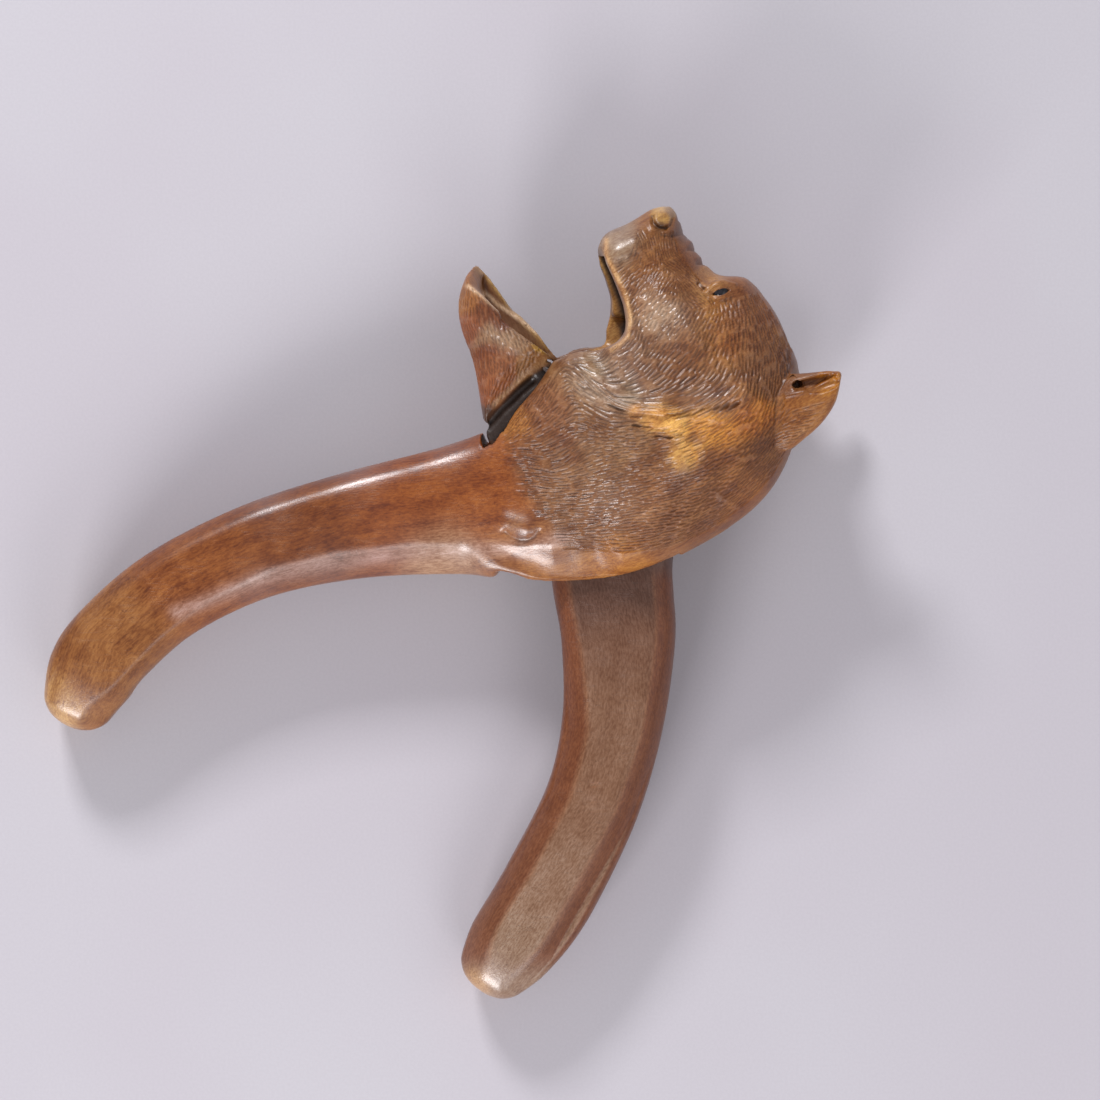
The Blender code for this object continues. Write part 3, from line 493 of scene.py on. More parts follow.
class Skin:
    """A fine closed mesh held as arrays."""

    def __init__(self, points, quads, triangles):
        self.points = points
        self.quads = quads
        self.triangles = triangles

    def places(self):
        return photo_places(self.points)

    def reach(self):
        """Distance of each point from the axis of the pin."""
        return np.hypot(self.points[:, 0], self.points[:, 1])

    def off_middle(self):
        """Distance of each point from the middle plane."""
        return np.abs(self.points[:, 2])

    def normals(self):
        total = np.zeros_like(self.points)
        for faces in (self.quads, self.triangles):
            if len(faces) == 0:
                continue
            corner = [self.points[faces[:, index]] for index in range(faces.shape[1])]
            if len(corner) == 4:
                face = np.cross(corner[2] - corner[0], corner[3] - corner[1])
            else:
                face = np.cross(corner[1] - corner[0], corner[2] - corner[0])
            for index in range(len(corner)):
                for axis in range(3):
                    total[:, axis] += np.bincount(faces[:, index], face[:, axis], len(self.points))
        return total / np.maximum(np.linalg.norm(total, axis=1), 1e-12)[:, None]

    def edges(self):
        pairs = [self.quads[:, (index, (index + 1) % 4)] for index in range(4)]
        if len(self.triangles):
            pairs += [self.triangles[:, (index, (index + 1) % 3)] for index in range(3)]
        return np.unique(np.sort(np.vstack(pairs), axis=1), axis=0)

    def averaged(self, values, edges):
        """The mean of each point's neighbours."""
        count = neighbour_sums(*edges.T, np.ones(len(values)))
        columns = values.reshape(len(values), -1).T
        result = np.column_stack([neighbour_sums(*edges.T, data) / count for data in columns])
        return result.reshape(values.shape)

    def smooth(self, rounds, weight):
        """Draws each point halfway to its neighbours' mean, or less where its weight is under 1."""
        edges = self.edges()
        ends, starts = edges[(weight > LEAST_WEIGHT)[edges].any(axis=1)].T
        used = np.unique(np.concatenate((ends, starts)))
        ends, starts = np.searchsorted(used, ends), np.searchsorted(used, starts)
        count = neighbour_sums(ends, starts, np.ones(len(used)))
        part, pull = self.points[used], (0.5 * np.where(weight > LEAST_WEIGHT, weight, 0.0))[used]
        for _ in range(rounds):
            for axis in range(3):
                data = part[:, axis]
                part[:, axis] = data + (neighbour_sums(ends, starts, data) / count - data) * pull
        self.points[used] = part

    def refine(self, chosen):
        """Splits the chosen quads in four, and fans the quads beside them so that no gap opens."""
        pairs = np.stack([self.quads, np.roll(self.quads, -1, axis=1)], axis=2)
        keys, which = np.unique(np.sort(pairs.reshape(-1, 2), axis=1), axis=0, return_inverse=True)
        which = which.reshape(-1, 4)
        split = np.zeros(len(keys), dtype=bool)
        split[which[chosen]] = True
        middle = np.full(len(keys), -1)
        middle[split] = len(self.points) + np.arange(split.sum())
        middles = self.points[keys[split]].mean(axis=1)
        plain = ~chosen & ~split[which].any(axis=1)
        beside = ~chosen & ~plain
        corner, mids = self.quads[chosen], middle[which[chosen]]
        centres = self.points[corner].mean(axis=1)
        centre = len(self.points) + len(middles) + np.arange(len(centres))
        fine = [np.column_stack((corner[:, index], mids[:, index], centre, mids[:, index - 1]))
                for index in range(4)]
        fans, fan_centres = self.fans(beside, middle[which], len(self.points) + len(middles) + len(centres))
        self.points = np.vstack((self.points, middles, centres, fan_centres))
        self.quads = np.vstack([self.quads[plain]] + fine)
        self.triangles = np.vstack((self.triangles, fans)).astype(int)

    def fans(self, beside, middle, start):
        """Triangles around the centre of each quad beside a split one, and the split middles of its sides."""
        fans, centres = [], []
        for quad, sides in zip(self.quads[beside], middle[beside]):
            ring = []
            for corner, side in zip(quad, sides):
                ring += [corner, side] if side >= 0 else [corner]
            centre = start + len(centres)
            centres.append(self.points[quad].mean(axis=0))
            fans += [(ring[index - 1], ring[index], centre) for index in range(len(ring))]
        return np.array(fans).reshape(-1, 3), np.array(centres).reshape(-1, 3)


def remeshed(meshes, voxel):
    """A skin of even quads through the union of closed meshes."""
    points, faces = [], []
    for mesh in meshes:
        start = len(points)
        points += [vertex.co.copy() for vertex in mesh.vertices]
        faces += [[start + index for index in polygon.vertices] for polygon in mesh.polygons]
    joined = bpy.data.meshes.new("joined")
    joined.from_pydata(points, [], faces)
    holder = placed("joined", joined)
    change = holder.modifiers.new("even", "REMESH")
    change.mode = "VOXEL"
    change.voxel_size = voxel * MM
    result = holder.evaluated_get(bpy.context.evaluated_depsgraph_get()).to_mesh()
    found = np.empty(len(result.vertices) * 3)
    result.vertices.foreach_get("co", found)
    quads = np.empty(len(result.polygons) * 4, dtype=int)
    result.polygons.foreach_get("vertices", quads)
    bpy.data.objects.remove(holder, do_unlink=True)
    bpy.data.meshes.remove(joined)
    return Skin(to_flat(found.reshape(-1, 3)), quads.reshape(-1, 4), np.zeros((0, 3), dtype=int))


def soften(skin):
    """Takes the flats of the modelled faces out, and keeps its edges and corners."""
    edges = skin.edges()
    for rounds, keep_from, keep_to in SOFTENINGS:
        normals = skin.normals()
        spread = normals
        for _ in range(3):
            spread = skin.averaged(spread, edges)
        sharp = step(1.0 - np.einsum("ij,ij->i", normals, spread), keep_from, keep_to)
        for _ in range(4):
            sharp = np.maximum(sharp, skin.averaged(sharp, edges))
        skin.smooth(rounds, 1.0 - sharp)
    skin.smooth(3, np.ones(len(skin.points)))


def sink(skin, depth, allowed, floor):
    """Sinks the flanks towards the middle plane, but nothing below the floor."""
    room = np.maximum(skin.off_middle() - floor(skin), 1e-3)
    depth = depth * step(skin.off_middle(), *FLANK_RISE) * allowed(skin)
    skin.points[:, 2] -= np.sign(skin.points[:, 2]) * room * (1.0 - np.exp(-depth / room))


def bevel_edges(skin, bevels, allowed, floor):
    """Rounds the long edges of a handle."""
    for path, reach, depth in bevels:
        gap = path_gap(skin.places(), path)
        sink(skin, depth * np.clip(1.0 - gap / reach, 0.0, 1.0) ** 2, allowed, floor)


def sink_bank(skin, bank, allowed, floor):
    """Sinks the flanks beside an edge in one even bank, whose far and near side are given from the edge."""
    path, far, near, depth = bank
    sink(skin, depth * (1.0 - step(path_gap(skin.places(), path), near, far)), allowed, floor)


def round_off(skin, roundings):
    """Rounds edges along paths: path and reach in pixels, and how many times the skin is smoothed there."""
    for path, reach, rounds in roundings:
        skin.smooth(rounds, near_path(skin.places(), path, reach))


def outer(skin, normals):
    """1 on the skin that faces out, 0 on walls that face the middle plane."""
    return step(normals[:, 2] * np.sign(skin.points[:, 2]), *OUTWARD)


def shape_forms(skin, forms, allowed):
    for path, reach, height in forms:
        normals = skin.normals()
        fade = near_path(skin.places(), path, reach) * outer(skin, normals) * allowed(skin)
        skin.points += normals * (fade * height)[:, None]


# Fur

def guide_field(places, guides):
    """Direction, length, spacing and depth of the fur at each place, blended from the nearest guides."""
    table = np.array(guides, dtype=float)
    turn = np.radians(table[:, 2]) * 2.0
    data = np.column_stack((np.cos(turn), np.sin(turn), table[:, 3:]))
    result = np.zeros((len(places), data.shape[1]))
    total = np.zeros(len(places))
    for guide, row in zip(table, data):
        near = 1.0 / (((places - guide[:2]) ** 2).sum(axis=1) + GUIDE_CORE) ** GUIDE_POWER
        result += near[:, None] * row
        total += near
    result /= total[:, None]
    angle = np.arctan2(result[:, 1], result[:, 0]) / 2.0
    return angle, result[:, 2] * PIXEL / MM, result[:, 3] * PIXEL / MM, result[:, 4]


class Cells:
    """Finds the points near a place."""

    def __init__(self, points, size):
        self.size = size
        keys = np.floor(points / size).astype(int)
        order = np.lexsort(keys.T)
        keys = keys[order]
        starts = np.flatnonzero(np.r_[True, (keys[1:] != keys[:-1]).any(axis=1)])
        ends = np.r_[starts[1:], len(keys)]
        self.cells = {tuple(keys[a]): order[a:b] for a, b in zip(starts, ends)}

    def near(self, low, high):
        a, b = np.floor(low / self.size).astype(int), np.floor(high / self.size).astype(int)
        found = [self.cells[(x, y, z)] for x in range(a[0], b[0] + 1) for y in range(a[1], b[1] + 1)
                 for z in range(a[2], b[2] + 1) if (x, y, z) in self.cells]
        return np.concatenate(found) if found else np.zeros(0, dtype=int)


class Coat:
    """The lie of the fur over a skin, along which gouge strokes are laid one beside another."""

    def __init__(self, skin, guides, edge, bare, allowed):
        self.random = np.random.default_rng(SEED)
        self.points, self.places, self.normals = skin.points, skin.places(), skin.normals()
        self.guides = np.array(guides, dtype=float)
        self.furred = inside(self.places, edge) & (outer(skin, self.normals) > 0.5) & (allowed(skin) > 0.5)
        for start, end, reach in bare:
            self.furred &= path_gap(self.places, (start, end)) > reach
        angle, self.length, self.spacing, self.depth = guide_field(self.places, guides)
        flat_way = np.column_stack((np.cos(angle), np.sin(angle), np.zeros(len(angle))))
        ways = flat_way - self.normals * np.einsum("ij,ij->i", flat_way, self.normals)[:, None]
        self.ways = ways / np.maximum(np.linalg.norm(ways, axis=1), 1e-9)[:, None]
        self.cells = Cells(skin.points, CELL)

    def in_order(self):
        """The furred points, patch by patch and along the fur, a little shuffled."""
        ids = np.flatnonzero(self.furred)
        spots = self.places[ids]
        patch = np.argmin([((spots - guide[:2]) ** 2).sum(axis=1) for guide in self.guides], axis=0)
        lean = np.radians(self.guides[patch, 2])
        along = spots[:, 0] * np.cos(lean) - spots[:, 1] * np.sin(lean)
        return ids[np.lexsort((along + self.random.normal(0.0, SHUFFLE_PX, len(ids)), patch))]

    def strokes(self):
        """The points that strokes are centred on, each clear of the strokes before it."""
        taken = np.zeros(len(self.points), dtype=bool)
        strokes = []
        for index in self.in_order():
            if taken[index]:
                continue
            strokes.append(index)
            spot, length = self.points[index], self.length[index] * STROKE_PITCH
            reach = max(self.spacing[index], length)
            found = self.cells.near(spot - reach, spot + reach)
            gap = self.points[found] - spot
            along = gap @ self.ways[index]
            across = np.sqrt(np.maximum((gap ** 2).sum(axis=1) - along ** 2, 0.0))
            near = (across / (self.spacing[index] * ROW_PITCH)) ** 4 + (along / length) ** 4 < 1.0
            taken[found[near & (self.normals[found] @ self.normals[index] > 0.0)]] = True
        return strokes

    def nearest(self, place):
        found = self.cells.near(place - TRACE_REACH, place + TRACE_REACH)
        if len(found) == 0:
            return -1
        return found[np.argmin(((self.points[found] - place) ** 2).sum(axis=1))]

    def trace(self, index, length, lean):
        """The path of a stroke over the skin, traced both ways from its middle."""
        path = [self.points[index]]
        for sense in (1.0, -1.0):
            place, here = self.points[index], index
            for _ in range(max(2, round(length / 2 / TRACE_STEP))):
                way = self.ways[here] + np.cross(self.normals[here], self.ways[here]) * lean
                place = place + way * sense * TRACE_STEP
                here_next = self.nearest(place)
                if here_next < 0 or self.normals[here_next] @ self.normals[here] < TRACE_TURN:
                    break
                here = here_next
                place = place - self.normals[here] * ((place - self.points[here]) @ self.normals[here])
                path = path + [place] if sense > 0 else [place] + path
        return np.array(path)

    def levels(self, found, path, half):
        """How deep a stroke cuts the found points, 0 to 1: round across, and tapered to both ends."""
        spots = self.points[found]
        best = np.full(len(found), np.inf)
        where = np.zeros(len(found))
        runs = np.diff(path, axis=0)
        run_length = np.linalg.norm(runs, axis=1)
        so_far = np.r_[0.0, np.cumsum(run_length)]
        for number, (start, run) in enumerate(zip(path, runs)):
            share = np.clip((spots - start) @ run / (run @ run), 0.0, 1.0)
            gap = np.linalg.norm(spots - start - share[:, None] * run, axis=1)
            closer = gap < best
            best = np.where(closer, gap, best)
            where = np.where(closer, so_far[number] + share * run_length[number], where)
        where /= so_far[-1]
        taper = np.minimum(np.minimum(where / TAPER_IN, (1.0 - where) / TAPER_OUT), 1.0)
        return np.clip(1.0 - (best / half) ** 2, 0.0, 1.0) * np.sqrt(np.clip(taper, 0.0, 1.0))


def carve_fur(skin, guides, edge, bare, allowed):
    """Cuts the strokes of a coat, and returns how deep each point was cut, 0 to 1."""
    coat = Coat(skin, guides, edge, bare, allowed)
    cut = np.zeros(len(skin.points))
    drop = np.zeros(len(skin.points))
    for index in coat.strokes():
        length = coat.length[index] * coat.random.uniform(*LENGTH_SPREAD)
        depth = coat.depth[index] * coat.random.uniform(*DEPTH_SPREAD)
        half = coat.spacing[index] * coat.random.uniform(*HALF_SPREAD)
        path = coat.trace(index, length, coat.random.normal(0.0, STROKE_SWAY))
        if len(path) < 3:
            continue
        found = coat.cells.near(path.min(axis=0) - half, path.max(axis=0) + half)
        level = coat.levels(found, path, half)
        level[coat.normals[found] @ coat.normals[index] < 0.2] = 0.0
        cut[found] = np.maximum(cut[found], level)
        drop[found] = np.maximum(drop[found], level * depth)
    fade = outer(skin, coat.normals)
    skin.points -= coat.normals * (drop * fade)[:, None]
    return cut * fade


# What the material reads from the skin

def toned(skin, tones, rims, normals):
    """The colour of the wood at each point, with painted shade on the walls that face the middle plane, and
    tones along rims, some of which are painted shadow.
    """
    places = skin.places()
    colour = np.zeros((len(places), 3))
    total = np.zeros(len(places))
    for x, y, reach, screen in tones:
        gap = spot_gap(places, x, y, reach)
        near = np.exp(-gap) + FAR_SHARE / (1.0 + gap)
        colour += near[:, None] * linear(screen)
        total += near
    colour *= TONE_LEVEL / total[:, None]
    # Painted shade on the walls that face the middle plane
    colour = blend(colour, INNER_SHADE_TONE, (1.0 - outer(skin, normals)) * INNER_SHADE_SHARE)
    for path, reach, screen in rims:
        colour = blend(colour, screen, near_path(places, path, reach) * RIM_SHARE)
    return colour


def shine_of(skin):
    """1 where hands have worn the wood to a shine, fading to 0."""
    places = skin.places()
    dull = np.ones(len(places))
    for x, y, reach in SHINE:
        dull *= 1.0 - np.exp(-spot_gap(places, x, y, reach))
    return 1.0 - dull


def grain_of(skin, path):
    """Place along, across and through the grain of an arm, which runs along a path, in millimetres."""
    places = skin.places()
    path = np.array(path, dtype=float)
    run_length = np.r_[0.0, np.cumsum(np.linalg.norm(np.diff(path, axis=0), axis=1))]
    best = np.full(len(places), np.inf)
    grain = np.zeros((len(places), 3))
    for number, (start, end) in enumerate(zip(path, path[1:])):
        run = end - start
        gap = places - start
        share = np.clip(gap @ run / (run @ run), 0.0, 1.0)
        distance = np.hypot(*(gap - share[:, None] * run).T)
        closer = distance < best
        best = np.where(closer, distance, best)
        side = np.sign(run[0] * gap[:, 1] - run[1] * gap[:, 0])
        grain[closer, 0] = (run_length[number] + share * np.linalg.norm(run))[closer]
        grain[closer, 1] = (side * distance)[closer]
    grain[:, :2] *= PIXEL / MM
    grain[:, 2] = skin.points[:, 2]
    return grain


def as_object(name, skin, body, replaced, attributes):
    """The finished skin as a piece; what would stand out of the modelled part's box is pressed back in."""
    mesh = bpy.data.meshes.new(name)
    low, high = (np.array(corner) for corner in cad_box)
    points = np.clip(to_world(skin.points), low, high)
    mesh.from_pydata(points.tolist(), [], skin.quads.tolist() + skin.triangles.tolist())
    mesh.shade_smooth()
    for key, values in attributes.items():
        kind, field = ("FLOAT_VECTOR", "vector") if values.ndim == 2 else ("FLOAT", "value")
        if key == "tone":
            kind, field = "FLOAT_COLOR", "color"
            values = np.column_stack((values, np.ones(len(values))))
        layer = mesh.attributes.new(key, kind, "POINT")
        layer.data.foreach_set(field, values.astype(np.float32).ravel())
    made = placed(name, mesh)
    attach(made, body)
    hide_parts(replaced)
    return made


# Materials

class Nodes:
    """A short way to write a node tree."""

    def __init__(self, name):
        self.material = bpy.data.materials.new(name)
        self.material.use_nodes = True
        self.tree = self.material.node_tree
        self.shader = self.tree.nodes["Principled BSDF"]
        self.place = self.add("ShaderNodeTexCoord", "Object")

    def feed(self, socket, value):
        if hasattr(value, "is_output"):
            self.tree.links.new(value, socket)
        else:
            socket.default_value = value

    def add(self, kind, output, inputs=(), **settings):
        """Adds a node with its settings, feeds its inputs and returns one output."""
        made = self.tree.nodes.new(kind)
        for key, value in settings.items():
            setattr(made, key, value)
        for key, value in dict(inputs).items():
            self.feed(made.inputs[key], value)
        return made.outputs[output]

    def shade(self, **values):
        """Feeds the inputs of the shader, whose names are written with _ for a space."""
        for key, value in values.items():
            self.feed(self.shader.inputs[key.replace("_", " ")], value)

    def math(self, operation, *values):
        return self.add("ShaderNodeMath", 0, enumerate(values), operation=operation)

    def mix(self, share, first, second, blend_type="MIX"):
        return self.add("ShaderNodeMix", 2, {0: share, 6: first, 7: second}, data_type="RGBA",
                        blend_type=blend_type)

    def stretched(self, vector, scale, lean=0.0):
        return self.add("ShaderNodeMapping", "Vector",
                        {"Vector": vector, "Rotation": (0.0, 0.0, lean), "Scale": scale})

    def noise(self, vector, scale, detail=3.0, distortion=0.0):
        return self.add("ShaderNodeTexNoise", "Fac",
                        {"Vector": vector, "Scale": scale, "Detail": detail, "Distortion": distortion})

    def attribute(self, name, output="Fac"):
        return self.add("ShaderNodeAttribute", output, attribute_name=name)

    def ramp(self, value, low, high, low_to=0.0, high_to=1.0):
        return self.add("ShaderNodeMapRange", "Result", {"Value": value, "From Min": low, "From Max": high,
                                                         "To Min": low_to, "To Max": high_to},
                        interpolation_type="SMOOTHSTEP")

    def bump(self, height, strength, distance):
        return self.add("ShaderNodeBump", "Normal",
                        {"Height": height, "Strength": strength, "Distance": distance})


def scratches(made):
    """Fine crossing scratches, in patches."""
    hair = None
    for scale, lean, stretch in SCRATCHES:
        wave = made.noise(made.stretched(made.place, (stretch, 2.2, 1.0), lean), scale, 0.0)
        line = made.ramp(made.math("ABSOLUTE", made.math("SUBTRACT", wave, 0.5)), 0.0, 0.012, 1.0, 0.0)
        hair = line if hair is None else made.math("MAXIMUM", hair, line)
    return made.math("MULTIPLY", hair, made.ramp(made.noise(made.place, 150.0, 2.0), 0.45, 0.62))


def walnut(name, figure):
    """Waxed old walnut: the carved tones, mottled, with streaks along the grain, painted shade in the cuts,
    uncut ridges lighter as wear and painted highlight, and scratches.

    The figure is how strong the streaks are.
    """
    made = Nodes(name)
    cut, fur, shine = (made.attribute(key) for key in ("cut", "fur", "shine"))
    along = made.attribute("grain", "Vector")
    broad_streaks = made.noise(made.stretched(along, (0.10, 1.0, 0.7)), 0.35, 4.0, 0.8)
    fine_streaks = made.noise(made.stretched(along, (0.06, 1.0, 1.0)), 2.6, 3.0, 0.3)
    flecks = made.noise(made.stretched(along, (0.35, 1.0, 1.0)), 2.4, 2.0)
    mottle = made.noise(made.place, 150.0, 5.0, 0.4)
    speck = made.noise(made.place, 2600.0, 2.0)
    scratched = scratches(made)

    broad = made.ramp(broad_streaks, 0.30, 0.70, -0.26 * figure, 0.18 * figure)
    fine = made.ramp(fine_streaks, 0.35, 0.7, 0.10 * figure, -0.14 * figure)
    cloud = made.math("ADD", made.ramp(mottle, 0.32, 0.70, 1.0 - 0.28 * figure, 1.0 + 0.28 * figure),
                      made.ramp(flecks, 0.3, 0.7, -0.20, 0.20))
    level = made.math("ADD", made.math("ADD", broad, fine), cloud)
    shade = made.add("ShaderNodeCombineColor", 0,
                     enumerate(made.math("POWER", level, power) for power in MOTTLE_POWERS))
    colour = made.mix(1.0, made.attribute("tone", "Color"), shade, "MULTIPLY")
    shown = made.math("MULTIPLY", made.math("MULTIPLY", scratched, shine),
                      made.math("MULTIPLY_ADD", fur, -0.16, 0.18))
    # Lighter uncut ridges of the fur: partly rubbed wear, partly painted highlight
    ridge_wear_and_highlight = made.math("MULTIPLY", made.ramp(cut, 0.02, 0.5, 1.0, 0.0), fur)
    for share, tint in ((shown, SCRATCH_TINT), (made.math("MULTIPLY", ridge_wear_and_highlight, 0.16), RIDGE_WEAR_AND_HIGHLIGHT_TINT),
                        # painted shade in the cuts, creases, holes and eye slits
                        (made.ramp(cut, 0.5, 1.3, 0.0, 0.60), CUT_SHADE_TINT),
                        (made.ramp(speck, 0.56, 0.76, 0.0, 0.38), SPECK_TINT)):
        colour = made.mix(share, colour, tint)

    relief = made.math("ADD", made.math("MULTIPLY", speck, 0.6), made.math("MULTIPLY", fine_streaks, 0.8))
    relief = made.math("SUBTRACT", relief, made.math("MULTIPLY", scratched, 0.5))
    made.shade(Base_Color=colour, Specular_IOR_Level=0.35, Coat_IOR=1.7, Coat_Roughness=0.32,
               Roughness=made.math("ADD", made.ramp(mottle, 0.3, 0.7, 0.38, 0.48),
                                   made.math("MULTIPLY", cut, 0.08)),
               Coat_Weight=made.math("MULTIPLY_ADD", shine, 0.78, 0.22),
               Normal=made.bump(relief, 0.5, 0.00012),
               Coat_Normal=made.bump(made.math("ADD", speck, flecks), 0.55, 0.00006))
    return made.material


def glass():
    made = Nodes("black_glass")
    cloud = made.ramp(made.noise(made.place, 900.0, 2.0), 0.3, 0.7)
    made.shade(Base_Color=made.mix(cloud, (0.006, 0.006, 0.009, 1.0), (0.020, 0.018, 0.022, 1.0)),
               Roughness=0.06, IOR=1.52)
    return made.material


def brass():
    made = Nodes("old_brass")
    tarnish = made.ramp(made.noise(made.place, 700.0, 4.0), 0.35, 0.7)
    made.shade(Base_Color=made.mix(tarnish, (0.60, 0.40, 0.17, 1.0), (0.30, 0.19, 0.09, 1.0)),
               Roughness=made.math("MULTIPLY_ADD", tarnish, 0.25, 0.28), Metallic=1.0)
    return made.material


def paper():
    """The pale floor: grey paper with a faint violet cast."""
    made = Nodes("pale_paper")
    cloud = made.ramp(made.noise(made.place, 9.0, 2.0), 0.35, 0.65)
    tooth = made.ramp(made.noise(made.place, 1500.0, 2.0), 0.3, 0.7, 0.0, 0.10)
    base = made.mix(cloud, (0.570, 0.560, 0.600, 1.0), (0.556, 0.536, 0.580, 1.0))
    made.shade(Base_Color=made.mix(tooth, base, (0.40, 0.38, 0.42, 1.0)), Roughness=0.9,
               Specular_IOR_Level=0.2)
    return made.material


# The head

def head_allowed(skin):
    """0 in the throat of the slot, where the lever passes, and 1 elsewhere."""
    return 1.0 - step(THROAT_REACH - skin.reach(), 0.0, 1.0) * step(THROAT_HALF - skin.off_middle(), 0.0, 0.5)


def head_floor(skin):
    """How near the middle plane the flanks may sink: not through the wall of the slot."""
    return WALL_FLOOR * step(WALL_REACH - skin.reach(), 0.0, WALL_FADE)


def lid_ball(node):
    """A ball of wood around a glass eye, as a mesh in the world."""
    box = np.array(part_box(node))
    centre = to_flat(box.mean(axis=0)[None, :])[0]
    radius = (box[1] - box[0]).max() / 2.0 / MM + LID_THICKNESS
    bm = bmesh.new()
    bmesh.ops.create_uvsphere(bm, u_segments=32, v_segments=20, radius=radius * MM)
    bm.transform(Matrix.Translation(to_world(centre[None, :])[0]))
    mesh = bpy.data.meshes.new("ball")
    bm.to_mesh(mesh)
    bm.free()
    return mesh


def finely_carved(skin):
    """Which points of the head get a finer mesh: the fur, the face and the knob at the root of the handle."""
    places = skin.places()
    right, low = places.T
    fine = inside(places, HEAD_FUR_EDGE)
    fine |= (right > KNOB_FINE_FROM) & (path_gap(places, KNOB_FINE_PATH) < KNOB_FINE_REACH)
    fine |= (right > FACE_FINE_FROM) & (low < FACE_FINE_TO)
    return fine & (outer(skin, skin.normals()) > 0.05) & (head_allowed(skin) > 0.5)


def sink_hole(skin, hole):
    *hole, depth = hole
    normals = skin.normals()
    fade = step(1.25 - spot_gap(skin.places(), *hole), 0.0, 0.6) * (outer(skin, normals) > 0.3)
    skin.points -= normals * (fade * depth)[:, None]


def eye_slits(skin):
    """Opens the lids over each glass eye in a narrow almond."""
    normals = skin.normals()
    gap = skin.places() - EYE_PX
    along = gap[:, 0] * math.cos(SLIT_LEAN) - gap[:, 1] * math.sin(SLIT_LEAN)
    across = gap[:, 0] * math.sin(SLIT_LEAN) + gap[:, 1] * math.cos(SLIT_LEAN)
    share = np.clip(1.0 - (along / SLIT_HALF_LENGTH) ** 2, 0.0, 1.0)
    room = share * SLIT_HALF_HEIGHT + 0.001
    depth = step(room - np.abs(across), -0.6, 0.9) * (share > 0.0) * outer(skin, normals)
    skin.points -= normals * (depth * SLIT_DEPTH)[:, None]
    skin.smooth(2, step(LID_REACH - np.hypot(along, across), 0.0, 3.0))
    return depth


def neck_waves(skin):
    """The soft upright waves that the fur of the neck lies in."""
    places, normals = skin.places(), skin.normals()
    right, low = places.T
    phase = right + WAVE_SWAY * np.sin(low / WAVE_SWAY_PITCH) + (low - WAVE_MIDDLE) * WAVE_LEAN
    fade = near_path(places, WAVE_PATH, WAVE_REACH, 4) * outer(skin, normals) * head_allowed(skin)
    skin.points += normals * (fade * WAVE_HEIGHT * np.sin(math.tau * phase / WAVE_PITCH))[:, None]


def painted_shade_in_cuts(places, cut, slit):
    """Painted shade in cuts, creases, holes and the slits of the eyes, 0 to 1.4: how much the wood is
    darkened where shade falls.
    """
    holes = sum(np.exp(-spot_gap(places, *hole) * 0.7) for *hole, _ in HEAD_HOLES)
    creases = np.zeros(len(places))
    for path, reach, height in HEAD_CREASES:
        creases = np.maximum(creases, near_path(places, path, reach) * min(1.2, 0.2 - height * 1.2))
    return np.clip(np.maximum.reduce((cut, holes * 1.4, creases, slit * 1.4)), 0.0, 1.4)


def head_tone(skin, normals):
    places = skin.places()
    tone = toned(skin, HEAD_TONES_AND_PAINTED_LIGHT, (HEAD_RIM,), normals)
    # A painted highlight along the lower edge of the handle
    path, reach, screen = PAINTED_HIGHLIGHT_BAND
    tone = blend(tone, screen, PAINTED_HIGHLIGHT_BAND_SHARE * near_path(places, path, reach))
    # Inside the mouth: a wall tone, and a painted shadow along the near rim
    for path, reach, screen in MOUTH_TONE_AND_SHADOW:
        tone = blend(tone, screen, near_path(places, path, reach, 4) * (1.0 - outer(skin, normals)))
    return tone


def carved_head():
    lids = [lid_ball(node) for node in ("eye_left", "eye_right")]
    skin = remeshed([frame["nodes"]["head_and_handle"].data] + lids, HEAD_VOXEL)
    soften(skin)
    fine = finely_carved(skin)
    bevel_edges(skin, HEAD_BEVELS, head_allowed, head_floor)
    sink_bank(skin, HEAD_BANK, head_allowed, head_floor)
    round_off(skin, HEAD_ROUNDED)
    skin.refine(fine[skin.quads].all(axis=1))
    shape_forms(skin, HEAD_FORMS, head_allowed)
    round_off(skin, FORMS_ROUNDED)
    neck_waves(skin)
    for hole in HEAD_HOLES:
        sink_hole(skin, hole)
    cut = carve_fur(skin, HEAD_FUR, HEAD_FUR_EDGE, HEAD_BARE, head_allowed)
    shape_forms(skin, HEAD_CREASES, head_allowed)
    round_off(skin, KNOB_ROUNDED)
    slit = eye_slits(skin)
    places = skin.places()
    # The cut attribute carries painted shade in the cuts, creases, holes and eye slits
    return as_object("carved_head", skin, "head", "head_and_handle",
                     {"tone": head_tone(skin, skin.normals()), "cut": painted_shade_in_cuts(places, cut, slit),
                      "fur": inside(places, HEAD_FUR_EDGE).astype(float), "shine": shine_of(skin),
                      "grain": grain_of(skin, HANDLE_GRAIN)})


# The lever

def lever_handle(skin):
    """0 on the tongue, rising to 1 down the handle."""
    return step(skin.reach(), *HANDLE_RISE)


def lever_allowed(skin):
    """0 on the tongue, which turns in the slot, and 1 elsewhere."""
    return np.maximum(step(skin.reach(), *TONGUE_EDGE), step(skin.off_middle(), *TONGUE_FLANK))


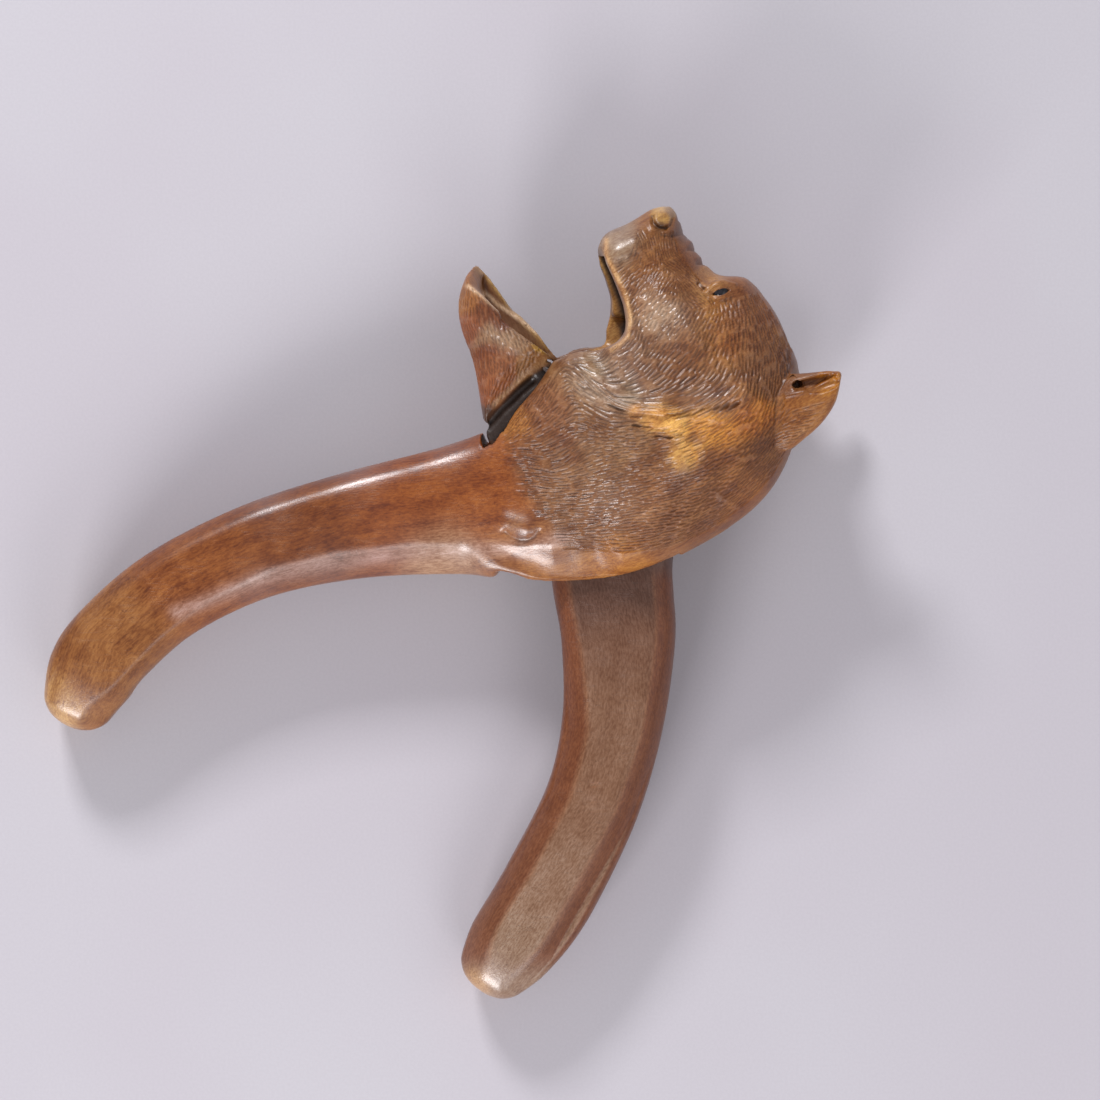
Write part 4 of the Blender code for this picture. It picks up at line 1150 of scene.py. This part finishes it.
def lever_tone(skin, normals):
    low = skin.places()[:, 1]
    # The rims include the undercut beside the jaw, painted as the shadow in the gap
    tone = toned(skin, LEVER_TONES_AND_PAINTED_LIGHT, (JAW_FAR_LIP, JAW_RIM, JAW_BEVEL, JAW_UNDERCUT_AND_SHADOW), normals)
    # Painted shade on the tongue, in the slot
    tongue = 1.0 - step(skin.reach(), *TONGUE_SHADE_REACH)
    tone = blend(tone, TONGUE_SHADE_TONE, tongue * (low < JAW_TO_PX))
    turned = 1.0 - step(np.abs(normals[:, 2]), *FLAT_FACING)
    handle = step(low, *HANDLE_FROM_PX) * (1.0 - step(low, *HANDLE_TO_PX))
    # Painted shade on the sides turned from the flat faces
    tone = blend(tone, EDGE_SHADE_TONE, handle * turned * EDGE_SHADE_SHARE)
    worn = np.exp(-((turned - WORN_MIDDLE) / WORN_HALF) ** 2) * handle
    return blend(tone, WEAR_TONE, worn * WEAR_SHARE)


def carved_lever():
    skin = remeshed([frame["nodes"]["jaw_and_handle"].data], LEVER_VOXEL)
    soften(skin)
    bevel_edges(skin, LEVER_BEVELS, lever_handle, lambda _: 0.0)
    fine = (skin.places()[:, 1] < JAW_TO_PX) & (lever_allowed(skin) > 0.5)
    skin.refine(fine[skin.quads].all(axis=1))
    shape_forms(skin, JAW_FORMS, lever_allowed)
    cut = carve_fur(skin, JAW_FUR, JAW_FUR_EDGE, (), lever_allowed)
    shape_forms(skin, ((*JAW_UNDERCUT_AND_SHADOW[:2], -JAW_UNDERCUT_DEPTH),), lambda _: 1.0)
    return as_object("carved_lever", skin, "jaw", "jaw_and_handle",
                     {"tone": lever_tone(skin, skin.normals()), "cut": cut,
                      "fur": inside(skin.places(), JAW_FUR_EDGE).astype(float), "shine": shine_of(skin),
                      "grain": grain_of(skin, LEVER_GRAIN)})


# Stage

def lamp(name, spot, target, size, power, colour):
    data = bpy.data.lights.new(name, "AREA")
    data.shape = "RECTANGLE"
    data.size, data.size_y = size
    data.energy = power
    data.color = colour
    made = placed(name, data)
    made.location = spot
    made.rotation_euler = (Vector(target) - Vector(spot)).to_track_quat("-Z", "Y").to_euler()


def paper_floor():
    mesh = bpy.data.meshes.new("floor")
    corners = [(x * FLOOR_HALF, y * FLOOR_HALF, 0.0) for x, y in ((-1, -1), (1, -1), (1, 1), (-1, 1))]
    mesh.from_pydata(corners, [], [(0, 1, 2, 3)])
    mesh.materials.append(paper())
    floor = placed("floor", mesh)


def room_light():
    world = bpy.data.worlds.new("room")
    bpy.context.scene.world = world
    world.use_nodes = True
    background = world.node_tree.nodes["Background"]
    background.inputs["Color"].default_value = ROOM_COLOUR
    background.inputs["Strength"].default_value = ROOM_LEVEL


def camera_above():
    data = bpy.data.cameras.new("camera")
    camera = placed("camera", data)
    camera.location = CAMERA_SPOT
    data.lens = data.sensor_width * CAMERA_HEIGHT / (IMAGE_SIZE * PIXEL)
    data.clip_end = 10.0
    bpy.context.scene.camera = camera


carved_head().data.materials.append(walnut("waxed_walnut", 0.75))
carved_lever().data.materials.append(walnut("waxed_lever_walnut", 0.35))
for node, finish in (("eye_left", glass()), ("eye_right", glass()), ("pivot_pin", brass())):
    frame["nodes"][node].material_slots[0].material = finish
paper_floor()
for row in LAMPS:
    lamp(*row)
room_light()
camera_above()
bpy.context.scene.view_settings.view_transform = "Standard"
